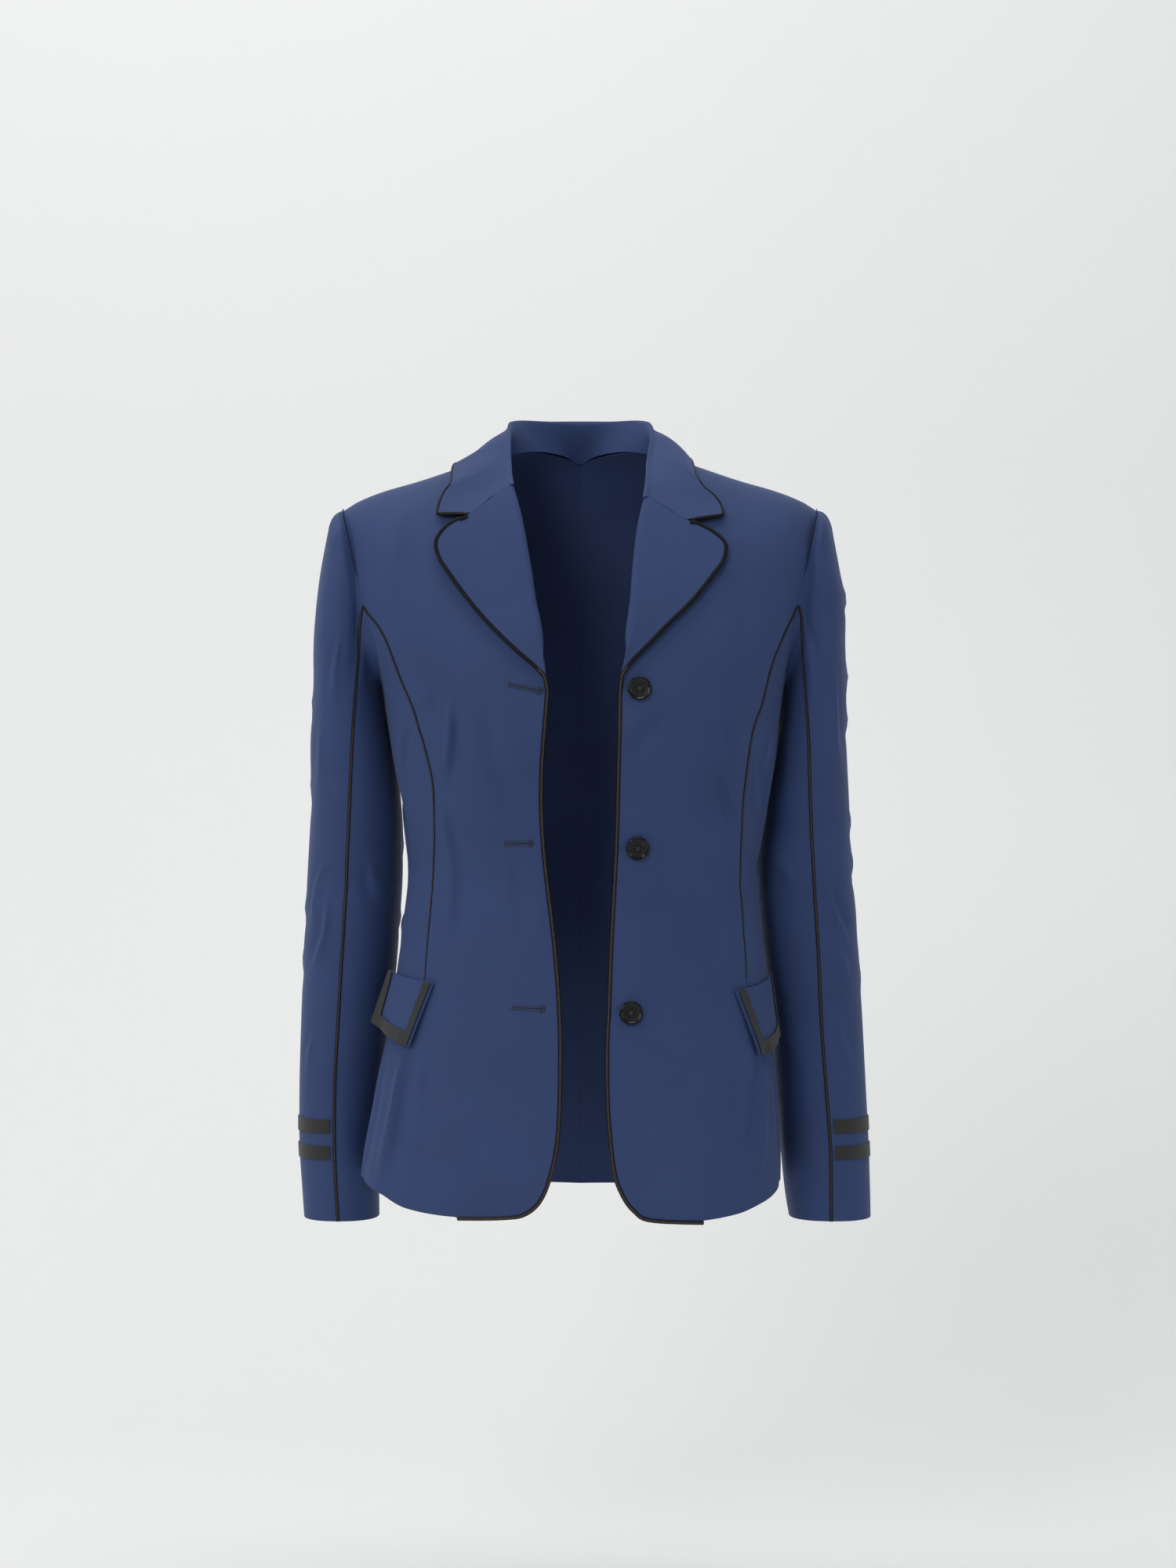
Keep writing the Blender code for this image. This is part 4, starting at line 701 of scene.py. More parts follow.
# Moves a column of the side so that its pocket row lies at the given place
def settleColumn(grid, column, atPocket, pocketRow):
    last = len(grid) - 1
    rows = np.arange(1, last)
    share = np.where(rows <= pocketRow, rows / pocketRow, (last - rows) / (last - pocketRow))[:, None]
    grid[1:last, column] += (atPocket - grid[pocketRow][column]) * share * share * (3 - 2 * share)


def gridNormals(points, flip=1):
    down = np.gradient(points, axis=0)
    across = np.gradient(points, axis=1)
    return unit(np.cross(down, across)) * flip


# Smooth curves through the first axis of a grid, with steps[i] cells on its stretch i
def refine(grid, steps):
    gaps = np.maximum(np.linalg.norm(np.diff(grid, axis=0), axis=-1, keepdims=True), 1e-6)
    slope = np.empty_like(grid)
    slope[1:-1] = (grid[2:] - grid[:-2]) / (gaps[1:] + gaps[:-1])
    slope[0], slope[-1] = (grid[1] - grid[0]) / gaps[0], (grid[-1] - grid[-2]) / gaps[-1]
    lines = []
    for i, count in enumerate(steps):
        for k in range(count):
            lines.append(hermite(grid[i], grid[i + 1], slope[i] * gaps[i], slope[i + 1] * gaps[i], k / count))
    return np.array(lines + [grid[-1]])


# Materials

def newMaterial(name):
    material = bpy.data.materials.new(name)
    material.use_nodes = True
    tree = material.node_tree
    return material, tree, tree.nodes["Principled BSDF"]


def addNode(tree, kind, inputs=(), **values):
    node = tree.nodes.new(kind)
    for key, value in values.items():
        setattr(node, key, value)
    for key, value in dict(inputs).items():
        node.inputs[key].default_value = value
    return node


def mixColours(tree, share, first, second, shader, socket="Base Color"):
    mix = addNode(tree, "ShaderNodeMix", data_type="RGBA")
    mix.inputs["A"].default_value = (*first, 1)
    mix.inputs["B"].default_value = (*second, 1)
    tree.links.new(share, mix.inputs["Factor"])
    tree.links.new(mix.outputs["Result"], shader.inputs[socket])


def ramp(tree, value, low, high):
    node = addNode(tree, "ShaderNodeMapRange", {"From Min": low, "From Max": high})
    tree.links.new(value, node.inputs["Value"])
    return node.outputs["Result"]

def addBump(tree, height, strength, distance, shader):
    bump = addNode(tree, "ShaderNodeBump", {"Strength": strength, "Distance": distance})
    tree.links.new(height, bump.inputs["Height"])
    tree.links.new(bump.outputs["Normal"], shader.inputs["Normal"])


# Plain finish with a fine uneven grain
def grainMaterial(name, colour, light, roughness, scale, depth):
    material, tree, shader = newMaterial(name)
    fabric = addNode(tree, "ShaderNodeUVMap", uv_map="fabric")
    grain = addNode(tree, "ShaderNodeTexNoise", {"Scale": scale, "Detail": 3.0})
    tree.links.new(fabric.outputs["UV"], grain.inputs["Vector"])
    mixColours(tree, ramp(tree, grain.outputs["Fac"], 0.3, 0.7), colour, light, shader)
    addBump(tree, grain.outputs["Fac"], depth, 0.0001, shader)
    shader.inputs["Roughness"].default_value = roughness
    return material


# Cloth

cloth = {
    "wall": 1.8, "lapelWall": 1.6, "edgeRound": 0.5, "creaseScale": 2.3,
    "joinGap": -0.1, "capSeamGap": 0.1,  # gap at a seam: below zero the edges meet
    "seamGap": 0.1, "capStand": 1.4, "capSink": 1.3,  # the sleeve's edge: beside, over and into the armhole
    "capLead": 0.1, "capCreases": 1.6,  # how soon the cap rounds over, and its creases start
    "lapelSeat": 0.3,
    "colour": (0.0295, 0.0525, 0.1440), "dark": (0.0252, 0.0450, 0.1250),
    "roughness": 0.72, "shine": 0.22,
    "sheen": 0.10, "sheenSpread": 0.45, "sheenTint": (0.55, 0.66, 1.0, 1),
    "twillPerMm": 1.5, "weaveDepth": 0.12, "weaveRise": 0.00025,
}
crispAngle = math.radians(40)


# Twill with an uneven fibre tone
def clothMaterial():
    material, tree, shader = newMaterial("blueCloth")
    fabric = addNode(tree, "ShaderNodeUVMap", uv_map="fabric")
    place = addNode(tree, "ShaderNodeTexCoord")
    cloud = addNode(tree, "ShaderNodeTexNoise", {"Scale": 14.0, "Detail": 3.0})
    tree.links.new(place.outputs["Object"], cloud.inputs["Vector"])
    fibre = addNode(tree, "ShaderNodeTexNoise", {"Scale": 1.4, "Detail": 4.0, "Roughness": 0.65})
    tree.links.new(fabric.outputs["UV"], fibre.inputs["Vector"])
    tone = addNode(tree, "ShaderNodeMath", operation="MULTIPLY_ADD")
    tone.inputs[1].default_value = 0.55
    tree.links.new(fibre.outputs["Fac"], tone.inputs[0])
    tree.links.new(cloud.outputs["Fac"], tone.inputs[2])
    mixColours(tree, ramp(tree, tone.outputs["Value"], 0.55, 1.05), cloth["dark"], cloth["colour"], shader)
    lines = {"Scale": cloth["twillPerMm"] / 3.0, "Distortion": 0.6, "Detail": 1.0, "Detail Scale": 2.0}
    twill = addNode(tree, "ShaderNodeTexWave", lines, bands_direction="DIAGONAL")
    tree.links.new(fabric.outputs["UV"], twill.inputs["Vector"])
    weave = addNode(tree, "ShaderNodeMath", operation="ADD")
    tree.links.new(twill.outputs["Fac"], weave.inputs[0])
    tree.links.new(fibre.outputs["Fac"], weave.inputs[1])
    addBump(tree, weave.outputs["Value"], cloth["weaveDepth"], cloth["weaveRise"], shader)
    shader.inputs["Roughness"].default_value = cloth["roughness"]
    shader.inputs["Sheen Weight"].default_value = cloth["sheen"]
    shader.inputs["Sheen Roughness"].default_value = cloth["sheenSpread"]
    shader.inputs["Sheen Tint"].default_value = cloth["sheenTint"]
    shader.inputs["Specular IOR Level"].default_value = cloth["shine"]
    return material

clothLook = clothMaterial()


# Fabric coordinates along and across a rolled piece
def rowUv(points):
    across = np.cumsum(np.linalg.norm(np.diff(points, axis=1, prepend=points[:, :1]), axis=-1), axis=1)
    along = np.cumsum(np.linalg.norm(np.diff(points, axis=0, prepend=points[:1]), axis=-1), axis=0)
    return np.stack((across, np.repeat(along.mean(axis=1)[:, None], points.shape[1], axis=1)), axis=-1)


# One mesh object in metres, with its fabric coordinates in millimetres
def makePiece(name, points, faces, uv, slot, look):
    mesh = bpy.data.meshes.new(name)
    mesh.from_pydata((np.asarray(points) / 1000).tolist(), [], faces)
    layer = mesh.uv_layers.new(name="fabric")
    corner = np.empty(len(mesh.loops), np.int32)
    mesh.loops.foreach_get("vertex_index", corner)
    layer.data.foreach_set("uv", np.asarray(uv, np.float32)[corner].ravel())
    piece = bpy.data.objects.new(name, mesh)
    bpy.context.scene.collection.objects.link(piece)
    bpy.context.view_layer.objects.active = piece
    shape = bmesh.new()
    shape.from_mesh(mesh)
    bmesh.ops.recalc_face_normals(shape, faces=shape.faces)
    if shape.calc_volume(signed=True) < 0:
        bmesh.ops.reverse_faces(shape, faces=shape.faces)
    shape.to_mesh(mesh)
    shape.free()
    mesh.materials.append(look)
    mesh.shade_smooth()
    mesh.set_sharp_from_angle(angle=crispAngle)
    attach(piece, "root")
    return piece


# A piece that stands for one of the solids
def dress(name, node, mesh, slot="cloth", look=clothLook):
    made = makePiece(name, *mesh, slot, look)
    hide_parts(node)
    return made


# Distance along a line of points
def distances(path):
    return np.concatenate(([0.0], np.cumsum(np.linalg.norm(np.diff(path, axis=0), axis=1))))


# Direction of a line at each of its points
def directions(points):
    last = len(points) - 1
    steps = np.arange(last + 1)
    return unit(points[np.minimum(steps + 1, last)] - points[np.maximum(steps - 1, 0)])


# Thin closed cloth under the chosen cells of a grid, drawn back by half a gap and rounded at its edges
def shell(points, normals, mask, wall, uv=None, gap=cloth["joinGap"], centred=False, wideRows=0,
          soften=cloth["edgeRound"]):
    uv = rowUv(points) if uv is None else uv
    rows, columns = mask.shape
    grown = np.zeros((rows + 2, columns + 2), int)
    grown[1:-1, 1:-1] = mask
    topLeft, topRight = grown[:-1, :-1], grown[:-1, 1:]
    lowLeft, lowRight = grown[1:, :-1], grown[1:, 1:]
    used = (topLeft + topRight + lowLeft + lowRight) > 0
    down = np.sign(lowLeft + lowRight - topLeft - topRight)
    across = np.sign(topRight + lowRight - topLeft - lowLeft)
    i, j = np.indices(used.shape)
    alongRow = directions(points.swapaxes(0, 1)).swapaxes(0, 1)
    alongColumn = directions(points)
    pull = np.zeros_like(points)
    for move, along, near in (
        (down, alongRow, points[np.clip(i + down, 0, rows), j] - points),
        (across, alongColumn, points[i, np.clip(j + across, 0, columns)] - points),
    ):
        near = near - along * dot(near, along)
        pull += unit(near) * (move != 0)[..., None]
    back = np.where(i < wideRows, cloth["capSeamGap"], gap)[..., None] / 2
    lift = wall / 2 if centred else 0.0
    border = used & ((topLeft & topRight & lowLeft & lowRight) == 0)
    full, rim = used.ravel().nonzero()[0], border.ravel().nonzero()[0]
    order, rimOrder = np.full(used.size, -1), np.full(used.size, -1)
    order[full], rimOrder[rim] = np.arange(len(full)), np.arange(len(rim))
    layers = []
    for share, depth, chosen in ((1, 0, full), (0.3, 1, full), (0.28, 0.2, rim), (0.05, 0.85, rim)):
        layer = points + pull * (back + soften * share) + normals * (lift - wall * depth)
        layers.append(layer.reshape(-1, 3)[chosen])
    corners = np.concatenate(layers)
    fabric = uv.reshape(-1, 2)
    fabric = np.concatenate((fabric[full], fabric[full], fabric[rim], fabric[rim]))
    n, m = len(full), len(rim)
    a, b = mask.nonzero()
    wide = columns + 1
    ring = np.stack((a * wide + b, (a + 1) * wide + b, (a + 1) * wide + b + 1, a * wide + b + 1), axis=1)
    outer = order[ring]
    faces = outer.tolist() + (outer[:, ::-1] + n).tolist()
    for first, second, empty in (
        (0, 1, grown[1:-1, :-2]),
        (1, 2, grown[2:, 1:-1]),
        (2, 3, grown[1:-1, 2:]),
        (3, 0, grown[:-2, 1:-1]),
    ):
        bare = (empty == 0)[a, b]
        p, q = ring[bare, first], ring[bare, second]
        levels = ((order, 0), (rimOrder, 2 * n), (rimOrder, 2 * n + m), (order, n))
        for (near, above), (far, below) in zip(levels, levels[1:]):
            rim = (near[q] + above, near[p] + above, far[p] + below, far[q] + below)
            faces += np.stack(rim, axis=1).tolist()
    return corners, faces, fabric


# Round cord along a path, its ends closed
def tube(path, count, radius, start=(0.0, 0.0, 1.0)):
    path = np.asarray(path, float)
    n = len(path)
    along = directions(path)
    across = np.array(start, float)
    wide = np.broadcast_to(radius, n)
    rings = []
    angles = turn * np.arange(count) / count
    for k in range(n):
        across = unit(across - along[k] * (across @ along[k]))
        other = np.cross(along[k], across)
        circle = np.cos(angles)[:, None] * across + np.sin(angles)[:, None] * other
        rings.append(path[k] + circle * wide[k])
    # Share facing the start direction, out from the cloth: the piping paints its highlight where this is high
    around = np.where(np.cos(angles) > 0, 1 - np.abs(np.sin(angles)), 0)
    return np.concatenate(rings), tubeFaces(n, count), tubeUv(path, around)


# Faces round a tube of rings, with both ends closed
def tubeFaces(n, count):
    k, s = np.indices((n - 1, count))
    a, b = (k * count + s).ravel(), (k * count + (s + 1) % count).ravel()
    faces = np.stack((a, b, b + count, a + count), axis=1).tolist()
    return faces + [list(range(count))[::-1], list(range((n - 1) * count, n * count))]


def tubeUv(path, around):
    return np.stack(np.broadcast_arrays(around[None], distances(path)[:, None]), axis=-1).reshape(-1, 2)


# Closed strip along a path: the profile gives its corners across and out
def strip(path, normals, profile, scale=1.0):
    n, count = len(path), len(profile)
    across = unit(np.cross(normals, directions(path)))
    profile = np.array(profile)
    scale = np.broadcast_to(scale, n)[:, None, None]
    section = across[:, None] * profile[None, :, :1] + normals[:, None] * profile[None, :, 1:]
    points = path[:, None] + section * scale
    half = np.abs(profile[:, 0]).max()
    # Share towards the middle of the profile: the piping paints its highlight where this is high
    around = np.clip(1 - np.abs(profile[:, 0]) / half, 0, 1)
    return points.reshape(-1, 3), tubeFaces(n, count), tubeUv(path, around)


# Several meshes as one
def gather(parts):
    points, faces, uvs, count = [], [], [], 0
    for some, rings, uv in parts:
        faces += [[k + count for k in ring] for ring in rings]
        count += len(some)
        points.append(some)
        uvs.append(uv)
    return np.concatenate(points), faces, np.concatenate(uvs)


# Body panels


def bodyUv(grid):
    return np.stack((np.degrees(grid[..., 0]) * bodyReach, grid[..., 1]), axis=-1)


# Front, side and back panel of one half, on one continuous surface
def addBody(side):
    fine = bodyFine
    front, middle, back = bodyGrid(side, fine)
    rows = (armholeRows + upperRows + skirtRows) * fine
    fronts = (gorgeCells + shoulderCells) * fine
    around = (sideFrontCells + sideBackCells) * fine
    high = armholeRows * fine
    blank = np.broadcast_to(armholeSpot(0.0), (high, around, 2))
    whole = np.concatenate((front, np.concatenate((blank, middle[:, 1:]))), axis=1)
    mask = np.zeros((rows, fronts + around), bool)
    mask[:, :fronts] = True
    pocket = (armholeRows + upperRows) * fine
    mask[pocket:, fronts : fronts + sideFrontCells * fine] = True
    sideMask = np.zeros_like(mask)
    sideMask[high:, fronts:] = True
    sideMask &= ~mask
    everyCell = np.ones((back.shape[0] - 1, back.shape[1] - 1), bool)
    for piece, places, chosen in (
        ("front", whole, mask),
        ("side", whole, sideMask),
        ("back", back, everyCell),
    ):
        mesh = shell(*onBody(side, places), chosen, cloth["wall"], bodyUv(places))
        made = dress(piece + "Cloth_" + sides[side], piece + "_" + sides[side], mesh)
    return front


# Sleeves

# Degrees from a starting angle, counted on from the lowest
def turnedFrom(angle, lowest):
    return lambda start: (np.degrees(angle) - start - lowest) % 360 + lowest


# Folds and creases are lower where the sleeve turns from its front to its back
def turnShare(angle):
    return blend(outlineFolds, 1, np.sin(angle) ** 2)


def sleeveFold(side, angle, z):
    return turnShare(angle) * foldDepth(sleeveFolds[side], turnedFrom(angle, -180), z, ("slant", 360))


def sleeveCrease(side, angle, z):
    return turnShare(angle) * creaseHeight(sleeveCreases[side], turnedFrom(angle, -120), z, sleeveReach)


# Outside of a sleeve: angle 0 faces away from the body, 90 degrees the front
def tubePoint(side, angle, z):
    sizes = sleeveSizes[side]
    outer, inner = read(sizes, "outer", z), read(sizes, "inner", z)
    along, across = unitArc(angle, sleeveSquare)
    fold = sleeveFold(side, angle, z)
    reach, depth = (outer - inner) / 2 - fold, read(sizes, "depth", z) - fold
    return stacked(side * ((outer + inner) / 2 + reach * across), read(sizes, "middle", z) - depth * along, z)


def seamAngle(side, z):
    sizes = sleeveSizes[side]
    outer, inner = read(sizes, "outer", z), read(sizes, "inner", z)
    across = np.clip((read(sizes, "seam", z) - (outer + inner) / 2) / ((outer - inner) / 2), -0.99, 0.99)
    return np.arctan2((1 - np.abs(across) ** sleeveSquare) ** (1 / sleeveSquare), across)


# Angle of a column: 0 to 1 over the top sleeve from the front seam, 1 to 2 back under the arm
def sleeveAngle(side, share, z):
    front, back = seamAngle(side, z), backSeamAngle - turn
    return np.where(share <= 1, blend(front, back, share), blend(back, front - turn, share - 1))


# Points and directions of a sleeve, its first column repeated at the end
def sleeveGrid(side, fine):
    upper, lower = 2 * armholeRows * fine, (sideFrontCells + sideBackCells) * fine
    share = np.concatenate((np.arange(upper) / upper, 1 + np.arange(lower) / lower))
    cap, rest = capRows * fine, sleeveRows * fine
    fall = np.concatenate((np.arange(cap) / cap, 1 + np.arange(rest + 1) / rest))
    seamTurn = math.pi / 2 - math.pi * share
    place = armholeSpot(seamTurn % turn)
    edge, outward = onBody(side, place)
    after, before = (onBody(side, armholeSpot((seamTurn + a) % turn), bodyPoint)[0] for a in (0.02, -0.02))
    along = after - before
    gap = cloth["seamGap"]
    edge = edge + outward * gap * cloth["capStand"] + unit(np.cross(along, outward)) * side * gap
    low = 0.5 - 0.5 * np.cos(seamTurn)
    shoulder, notch, underarm = capDrop
    inFront = blend(shoulder, notch, np.minimum(low * 2, 1))
    drop = np.where(low < 0.5, inFront, blend(notch, underarm, low * 2 - 1))
    capEnd = edge[:, 2] - drop
    end = tubePoint(side, sleeveAngle(side, share, capEnd), capEnd)
    above = tubePoint(side, sleeveAngle(side, share, capEnd), edge[:, 2] - drop * cloth["capLead"])
    away = unit(above - edge)
    start = edge + away * (gap - cloth["capSink"] * np.maximum(dot(away, outward), 0))
    t = fall[:, None, None]
    capPoints = (1 - t) ** 2 * start + 2 * t * (1 - t) * above + t**2 * end
    z = blend(capEnd, cuffZ, np.maximum(fall - 1, 0)[:, None])
    angle = sleeveAngle(side, share, z)
    points = np.where(t < 1, capPoints, tubePoint(side, angle, z))
    wrapped = np.concatenate((points[:, -1:], points, points[:, :1]), axis=1)
    across = unit(wrapped[:, 2:] - points) + unit(points - wrapped[:, :-2])
    normals = unit(np.cross(np.gradient(points, axis=0), across)) * side
    level = blend(points[:, :, 2], z, np.minimum(fall, 1)[:, None])
    rise = sleeveCrease(side, angle, level)
    rise = rise * np.minimum(fall * cloth["capCreases"], 1)[:, None]
    points = points + normals * rise[..., None]
    uv = np.stack((np.degrees(angle) * sleeveReach, level), axis=-1)
    closing = uv[:, :1] - np.array((360 * sleeveReach, 0))
    return (
        np.concatenate((points, points[:, :1]), axis=1),
        np.concatenate((normals, normals[:, :1]), axis=1),
        np.concatenate((uv, closing), axis=1),
    )


def addSleeve(side):
    points, normals, uv = sleeveGrid(side, sleeveFine)
    rows, whole = points.shape[0] - 1, points.shape[1] - 1
    upper = 2 * armholeRows * sleeveFine
    name = sides[side]
    for piece, node, low, high in (
        ("topSleeve", "top_sleeve_", 0, upper),
        ("underSleeve", "under_sleeve_", upper, whole),
    ):
        mask = np.zeros((rows, whole), bool)
        mask[:, low:high] = True
        mesh = shell(points, normals, mask, cloth["wall"], uv, wideRows=capRows * sleeveFine + 1)
        dress(piece + "_" + name, node + name, mesh)
    return points, normals


# Lapels and collar

rollCells = [3, 3, 4, 3]
# How a rolled piece turns over: out and up from the top of its stand
collarTurn = ((2.2, 0.8), (4.4, -2.0))
lapelTurn = ((1.5, 1.0), (4.8, 1.5))


# Middle of cloth that rises from an edge, turns over and runs out to its own edge
def rolledRow(edge, away, up, out, rise, end, via, bend):
    base = edge + away * (cloth["lapelWall"] / 2 + rollClearance)
    top = base + up * rise
    crest, over = (top + out * a + up * b for a, b in bend)
    line = [base, blend(base, top - up * 2, 0.5), top - up * 2, crest, over]
    for k in range(1, lapelCells + 1):
        t = k / lapelCells
        line.append((1 - t) ** 2 * over + 2 * t * (1 - t) * via + t**2 * end)
    return line

# Middle lines of the lapel's sections from the gorge seam down
def lapelGrid(side):
    edge = frontEdgeLine(side, 1)
    roll = even(edge[edge[:, 1] > lapelFoot], lapelRows)
    outline = lapelEdge[side]
    far = smoothLine(list(zip(outline["x"], outline["z"])), lapelRows)
    far = spots(side, far[:, 0], far[:, 1])
    half = blend(roll, far, 0.5)
    share = np.linspace(0, 1, lapelRows + 1)[:, None]
    (start, normal), (end, farNormal), (via, halfNormal) = (onBody(side, at) for at in (roll, far, half))
    start = start + normal * cloth["lapelSeat"]
    end = end + farNormal * blend(*lapelEdgeLift, share)
    via = via + halfNormal * blend(*lapelMiddleLift, share)
    out = end - start
    out = unit(out - normal * dot(out, normal))
    rise = blend(*rollRise, share**2)
    rows = zip(start, -out, normal, out, rise, end, via)
    return np.stack([np.array(rolledRow(*row, lapelTurn)) for row in rows])


def addLapel(side):
    points = lapelGrid(side)
    shares = np.minimum(np.maximum(np.arange(points.shape[1]) - rollSteps, 0) / gorgeFade, 1)
    clear = blend(gorgeClearance, cloth["joinGap"], shares)
    points[0] += unit(points[1] - points[0]) * clear[:, None]
    points, normals, mesh = rolledCloth(points, lapelFine, side)
    dress("lapelCloth_" + sides[side], "lapel_" + sides[side], mesh)
    return points, normals


# Fine surface and cloth through the middle lines of a rolled piece
def rolledCloth(points, fine, flip):
    points = refine(points, [fine] * (len(points) - 1))
    points = refine(points.swapaxes(0, 1), rollCells + [lapelFine] * lapelCells).swapaxes(0, 1)
    normals = gridNormals(points, flip)
    mask = np.ones((points.shape[0] - 1, points.shape[1] - 1), bool)
    return points, normals, shell(points, normals, mask, cloth["lapelWall"], centred=True)


# Middle lines of the collar's sections on one side, from the gorge seam to the centre back
def collarRows(side):
    front, _, back = bodyGrid(side, 1)
    seam = np.concatenate((front[0][: gorgeCells + 1], back[0][shoulderCells + 1 :]))
    sizes = collarSections[side]
    s = np.linspace(0, 1, len(seam))
    part = {key: read(sizes, key, s, "s") for key in sizes if key != "s"}
    fold = np.stack((side * part["foldX"], part["foldY"], part["foldZ"]), axis=-1)
    far = spots(side, part["edgeX"], part["edgeZ"], part["behind"] > 0.5)
    end, farNormal = onBody(side, far, bodyPoint)
    end = end + farNormal * part["lift"][:, None]
    start, seamNormal = onBody(side, seam, bodyPoint)
    start = start - seamNormal * cloth["wall"] / 2
    up = unit(fold - start)
    out = end - fold
    out = unit(out - up * dot(out, up))
    rise = np.linalg.norm(fold - start, axis=-1)
    via = blend(fold, end, 0.5) + farNormal * part["bulge"][:, None] * 2
    via[:, 2] -= part["dip"] * 2
    rows = [np.array(rolledRow(*row, collarTurn)) for row in zip(start, -out, up, out, rise, end, via)]
    layGorge(rows[0], lapelGrid(side)[0])
    return rows


# Lays the collar's first section along the lapel's top seam, then straight to the collar's corner
def layGorge(row, seam):
    notch = len(row) - 1 - notchCells
    sewn = notch - rollSteps
    for k in range(1, sewn + 1):
        place = rollSteps + lapelCells * k / sewn
        low = min(int(place), len(seam) - 2)
        beside = blend(seam[low], seam[low + 1], place - low)
        row[rollSteps + k] = beside + np.array((0, 0, gorgeLift))
    for k in range(1, notchCells):
        row[notch + k] = blend(row[notch], row[-1], k / notchCells)


def addCollar():
    left, right = collarRows(-1), collarRows(1)
    points = np.stack(left + right[-2::-1])
    points, normals, mesh = rolledCloth(points, bodyFine, -1)
    dress("collarCloth", "collar", mesh)
    return points, normals


# Piping

piping = {
    "seamHalf": 1.35, "seamRise": 0.9, "pocketTaper": 0.55,
    "frontRadius": 1.85, "edgeRadius": 1.7, "collarRadius": 1.25, "gap": -0.35,
    # light is the colour of the painted highlight; line is where across the cord it starts and where it is
    # full
    "colour": (0.0030, 0.0028, 0.0030), "light": (0.058, 0.047, 0.042), "line": (0.38, 0.78),
    "roughness": 0.5, "shine": 0.15,
}
joinCells = 3  # points of the front piping that give way to its run on from the lapel


# Satin cord: dark at its sides, with a painted highlight along its middle, on the crest that faces out
def pipingMaterial():
    material, tree, shader = newMaterial("satinPiping")
    fabric = addNode(tree, "ShaderNodeUVMap", uv_map="fabric")
    parts = addNode(tree, "ShaderNodeSeparateXYZ")
    tree.links.new(fabric.outputs["UV"], parts.inputs["Vector"])
    slub = addNode(tree, "ShaderNodeTexNoise", {"Scale": 0.9, "Detail": 2.0})
    tree.links.new(fabric.outputs["UV"], slub.inputs["Vector"])
    # Painted highlight: lighter along the crest that faces out, broken up by a random slub
    line = addNode(tree, "ShaderNodeMath", operation="MULTIPLY")
    tree.links.new(ramp(tree, parts.outputs["X"], *piping["line"]), line.inputs[0])
    tree.links.new(ramp(tree, slub.outputs["Fac"], 0.1, 0.7), line.inputs[1])
    mixColours(tree, line.outputs["Value"], piping["colour"], piping["light"], shader)
    addBump(tree, slub.outputs["Fac"], 0.25, 0.0002, shader)
    shader.inputs["Roughness"].default_value = piping["roughness"]
    shader.inputs["Specular IOR Level"].default_value = piping["shine"]
    return material


pipingLook = pipingMaterial()


# Half-round cord lying over a seam
def seamProfile():
    half, rise = piping["seamHalf"], piping["seamRise"]
    angles = np.linspace(0, math.pi, 11)
    return [(-half * math.cos(a), 0.1 + rise * math.sin(a) ** 0.8) for a in angles]


def addSeamPiping(side, sleeve):
    line = princessLine(side, upperRows * bodyFine)[:-2]
    line[0] = blend(line[0], line[1], 0.5)
    narrow = np.linspace(1, piping["pocketTaper"], len(line))
    mesh = strip(*onBody(side, line), seamProfile(), narrow)
    dress("princessPiping_" + sides[side], "princess_piping_" + sides[side], mesh, "piping", pipingLook)
    mesh = strip(sleeve[0][2:, 0], sleeve[1][2:, 0], seamProfile())
    dress("sleevePiping_" + sides[side], "sleeve_piping_" + sides[side], mesh, "piping", pipingLook)


# Piping just past a free edge, mitred at its corners
def edgeCord(name, node, edge, inside, normals, radius, lead=None):
    step = unit(np.diff(edge, axis=0))
    before, after = np.concatenate((step[:1], step)), np.concatenate((step, step[-1:]))
    along = unit(before + after)
    out = unit(np.cross(along, normals)) / np.maximum(dot(along, before), 0.6)
    outward = 1 if dot(out, edge - inside).sum() > 0 else -1
    path = edge + outward * out * (np.broadcast_to(radius, len(edge)) + piping["gap"])[:, None]
    if lead is not None:
        join = smoothLine([lead[-4], lead[-1], path[joinCells]], 9)
        path = np.concatenate((join[:-1], path[joinCells:]))
    dress(name, node, tube(path, 12, radius, normals[0]), "piping", pipingLook)
    return path


# Piping from the lower end of the lapel down the front edge and round to the hem
def addFrontPiping(side, front, lead):
    chosen = front[:, 0, 1] < frontPipingStart
    edge, near = front[chosen, 0], front[chosen, 2]
    points, normals = onBody(side, edge)
    half = normals * cloth["wall"] / 2
    inside = onBody(side, near)[0] - half
    name, radius = sides[side], piping["frontRadius"]
    edgeCord("frontPiping_" + name, "front_piping_" + name, points - half, inside, normals, radius, lead)


def addLapelPiping(side, points, normals):
    name = sides[side]
    start = round(lapelFine * notchStart)
    edge, inside, out = points[start:, -1], points[start:, -3], normals[start:, -1]
    return edgeCord("lapelPiping_" + name, "lapel_piping_" + name, edge, inside, out, piping["edgeRadius"])


# Piping from one notch round the collar's outer edge to the other notch
def addCollarPiping(points, normals):
    start = points.shape[1] - 1 - notchCells * lapelFine + round(lapelFine * notchStart)
    first, last = slice(start, -1), slice(-2, start - 1, -1)
    edge = np.concatenate((points[0, first], points[:, -1], points[-1, last]))
    out = np.concatenate((normals[0, first], normals[:, -1], normals[-1, last]))
    inside = np.concatenate((points[3, first], points[:, -4], points[-4, last]))
    ends = points.shape[1] - 1 - start
    thick = np.full(len(edge), piping["collarRadius"])
    thick[:ends], thick[-ends:] = piping["edgeRadius"], piping["edgeRadius"]
    edgeCord("collarPiping", "collar_piping", edge, inside, out, thick)


# Flaps and ribbons

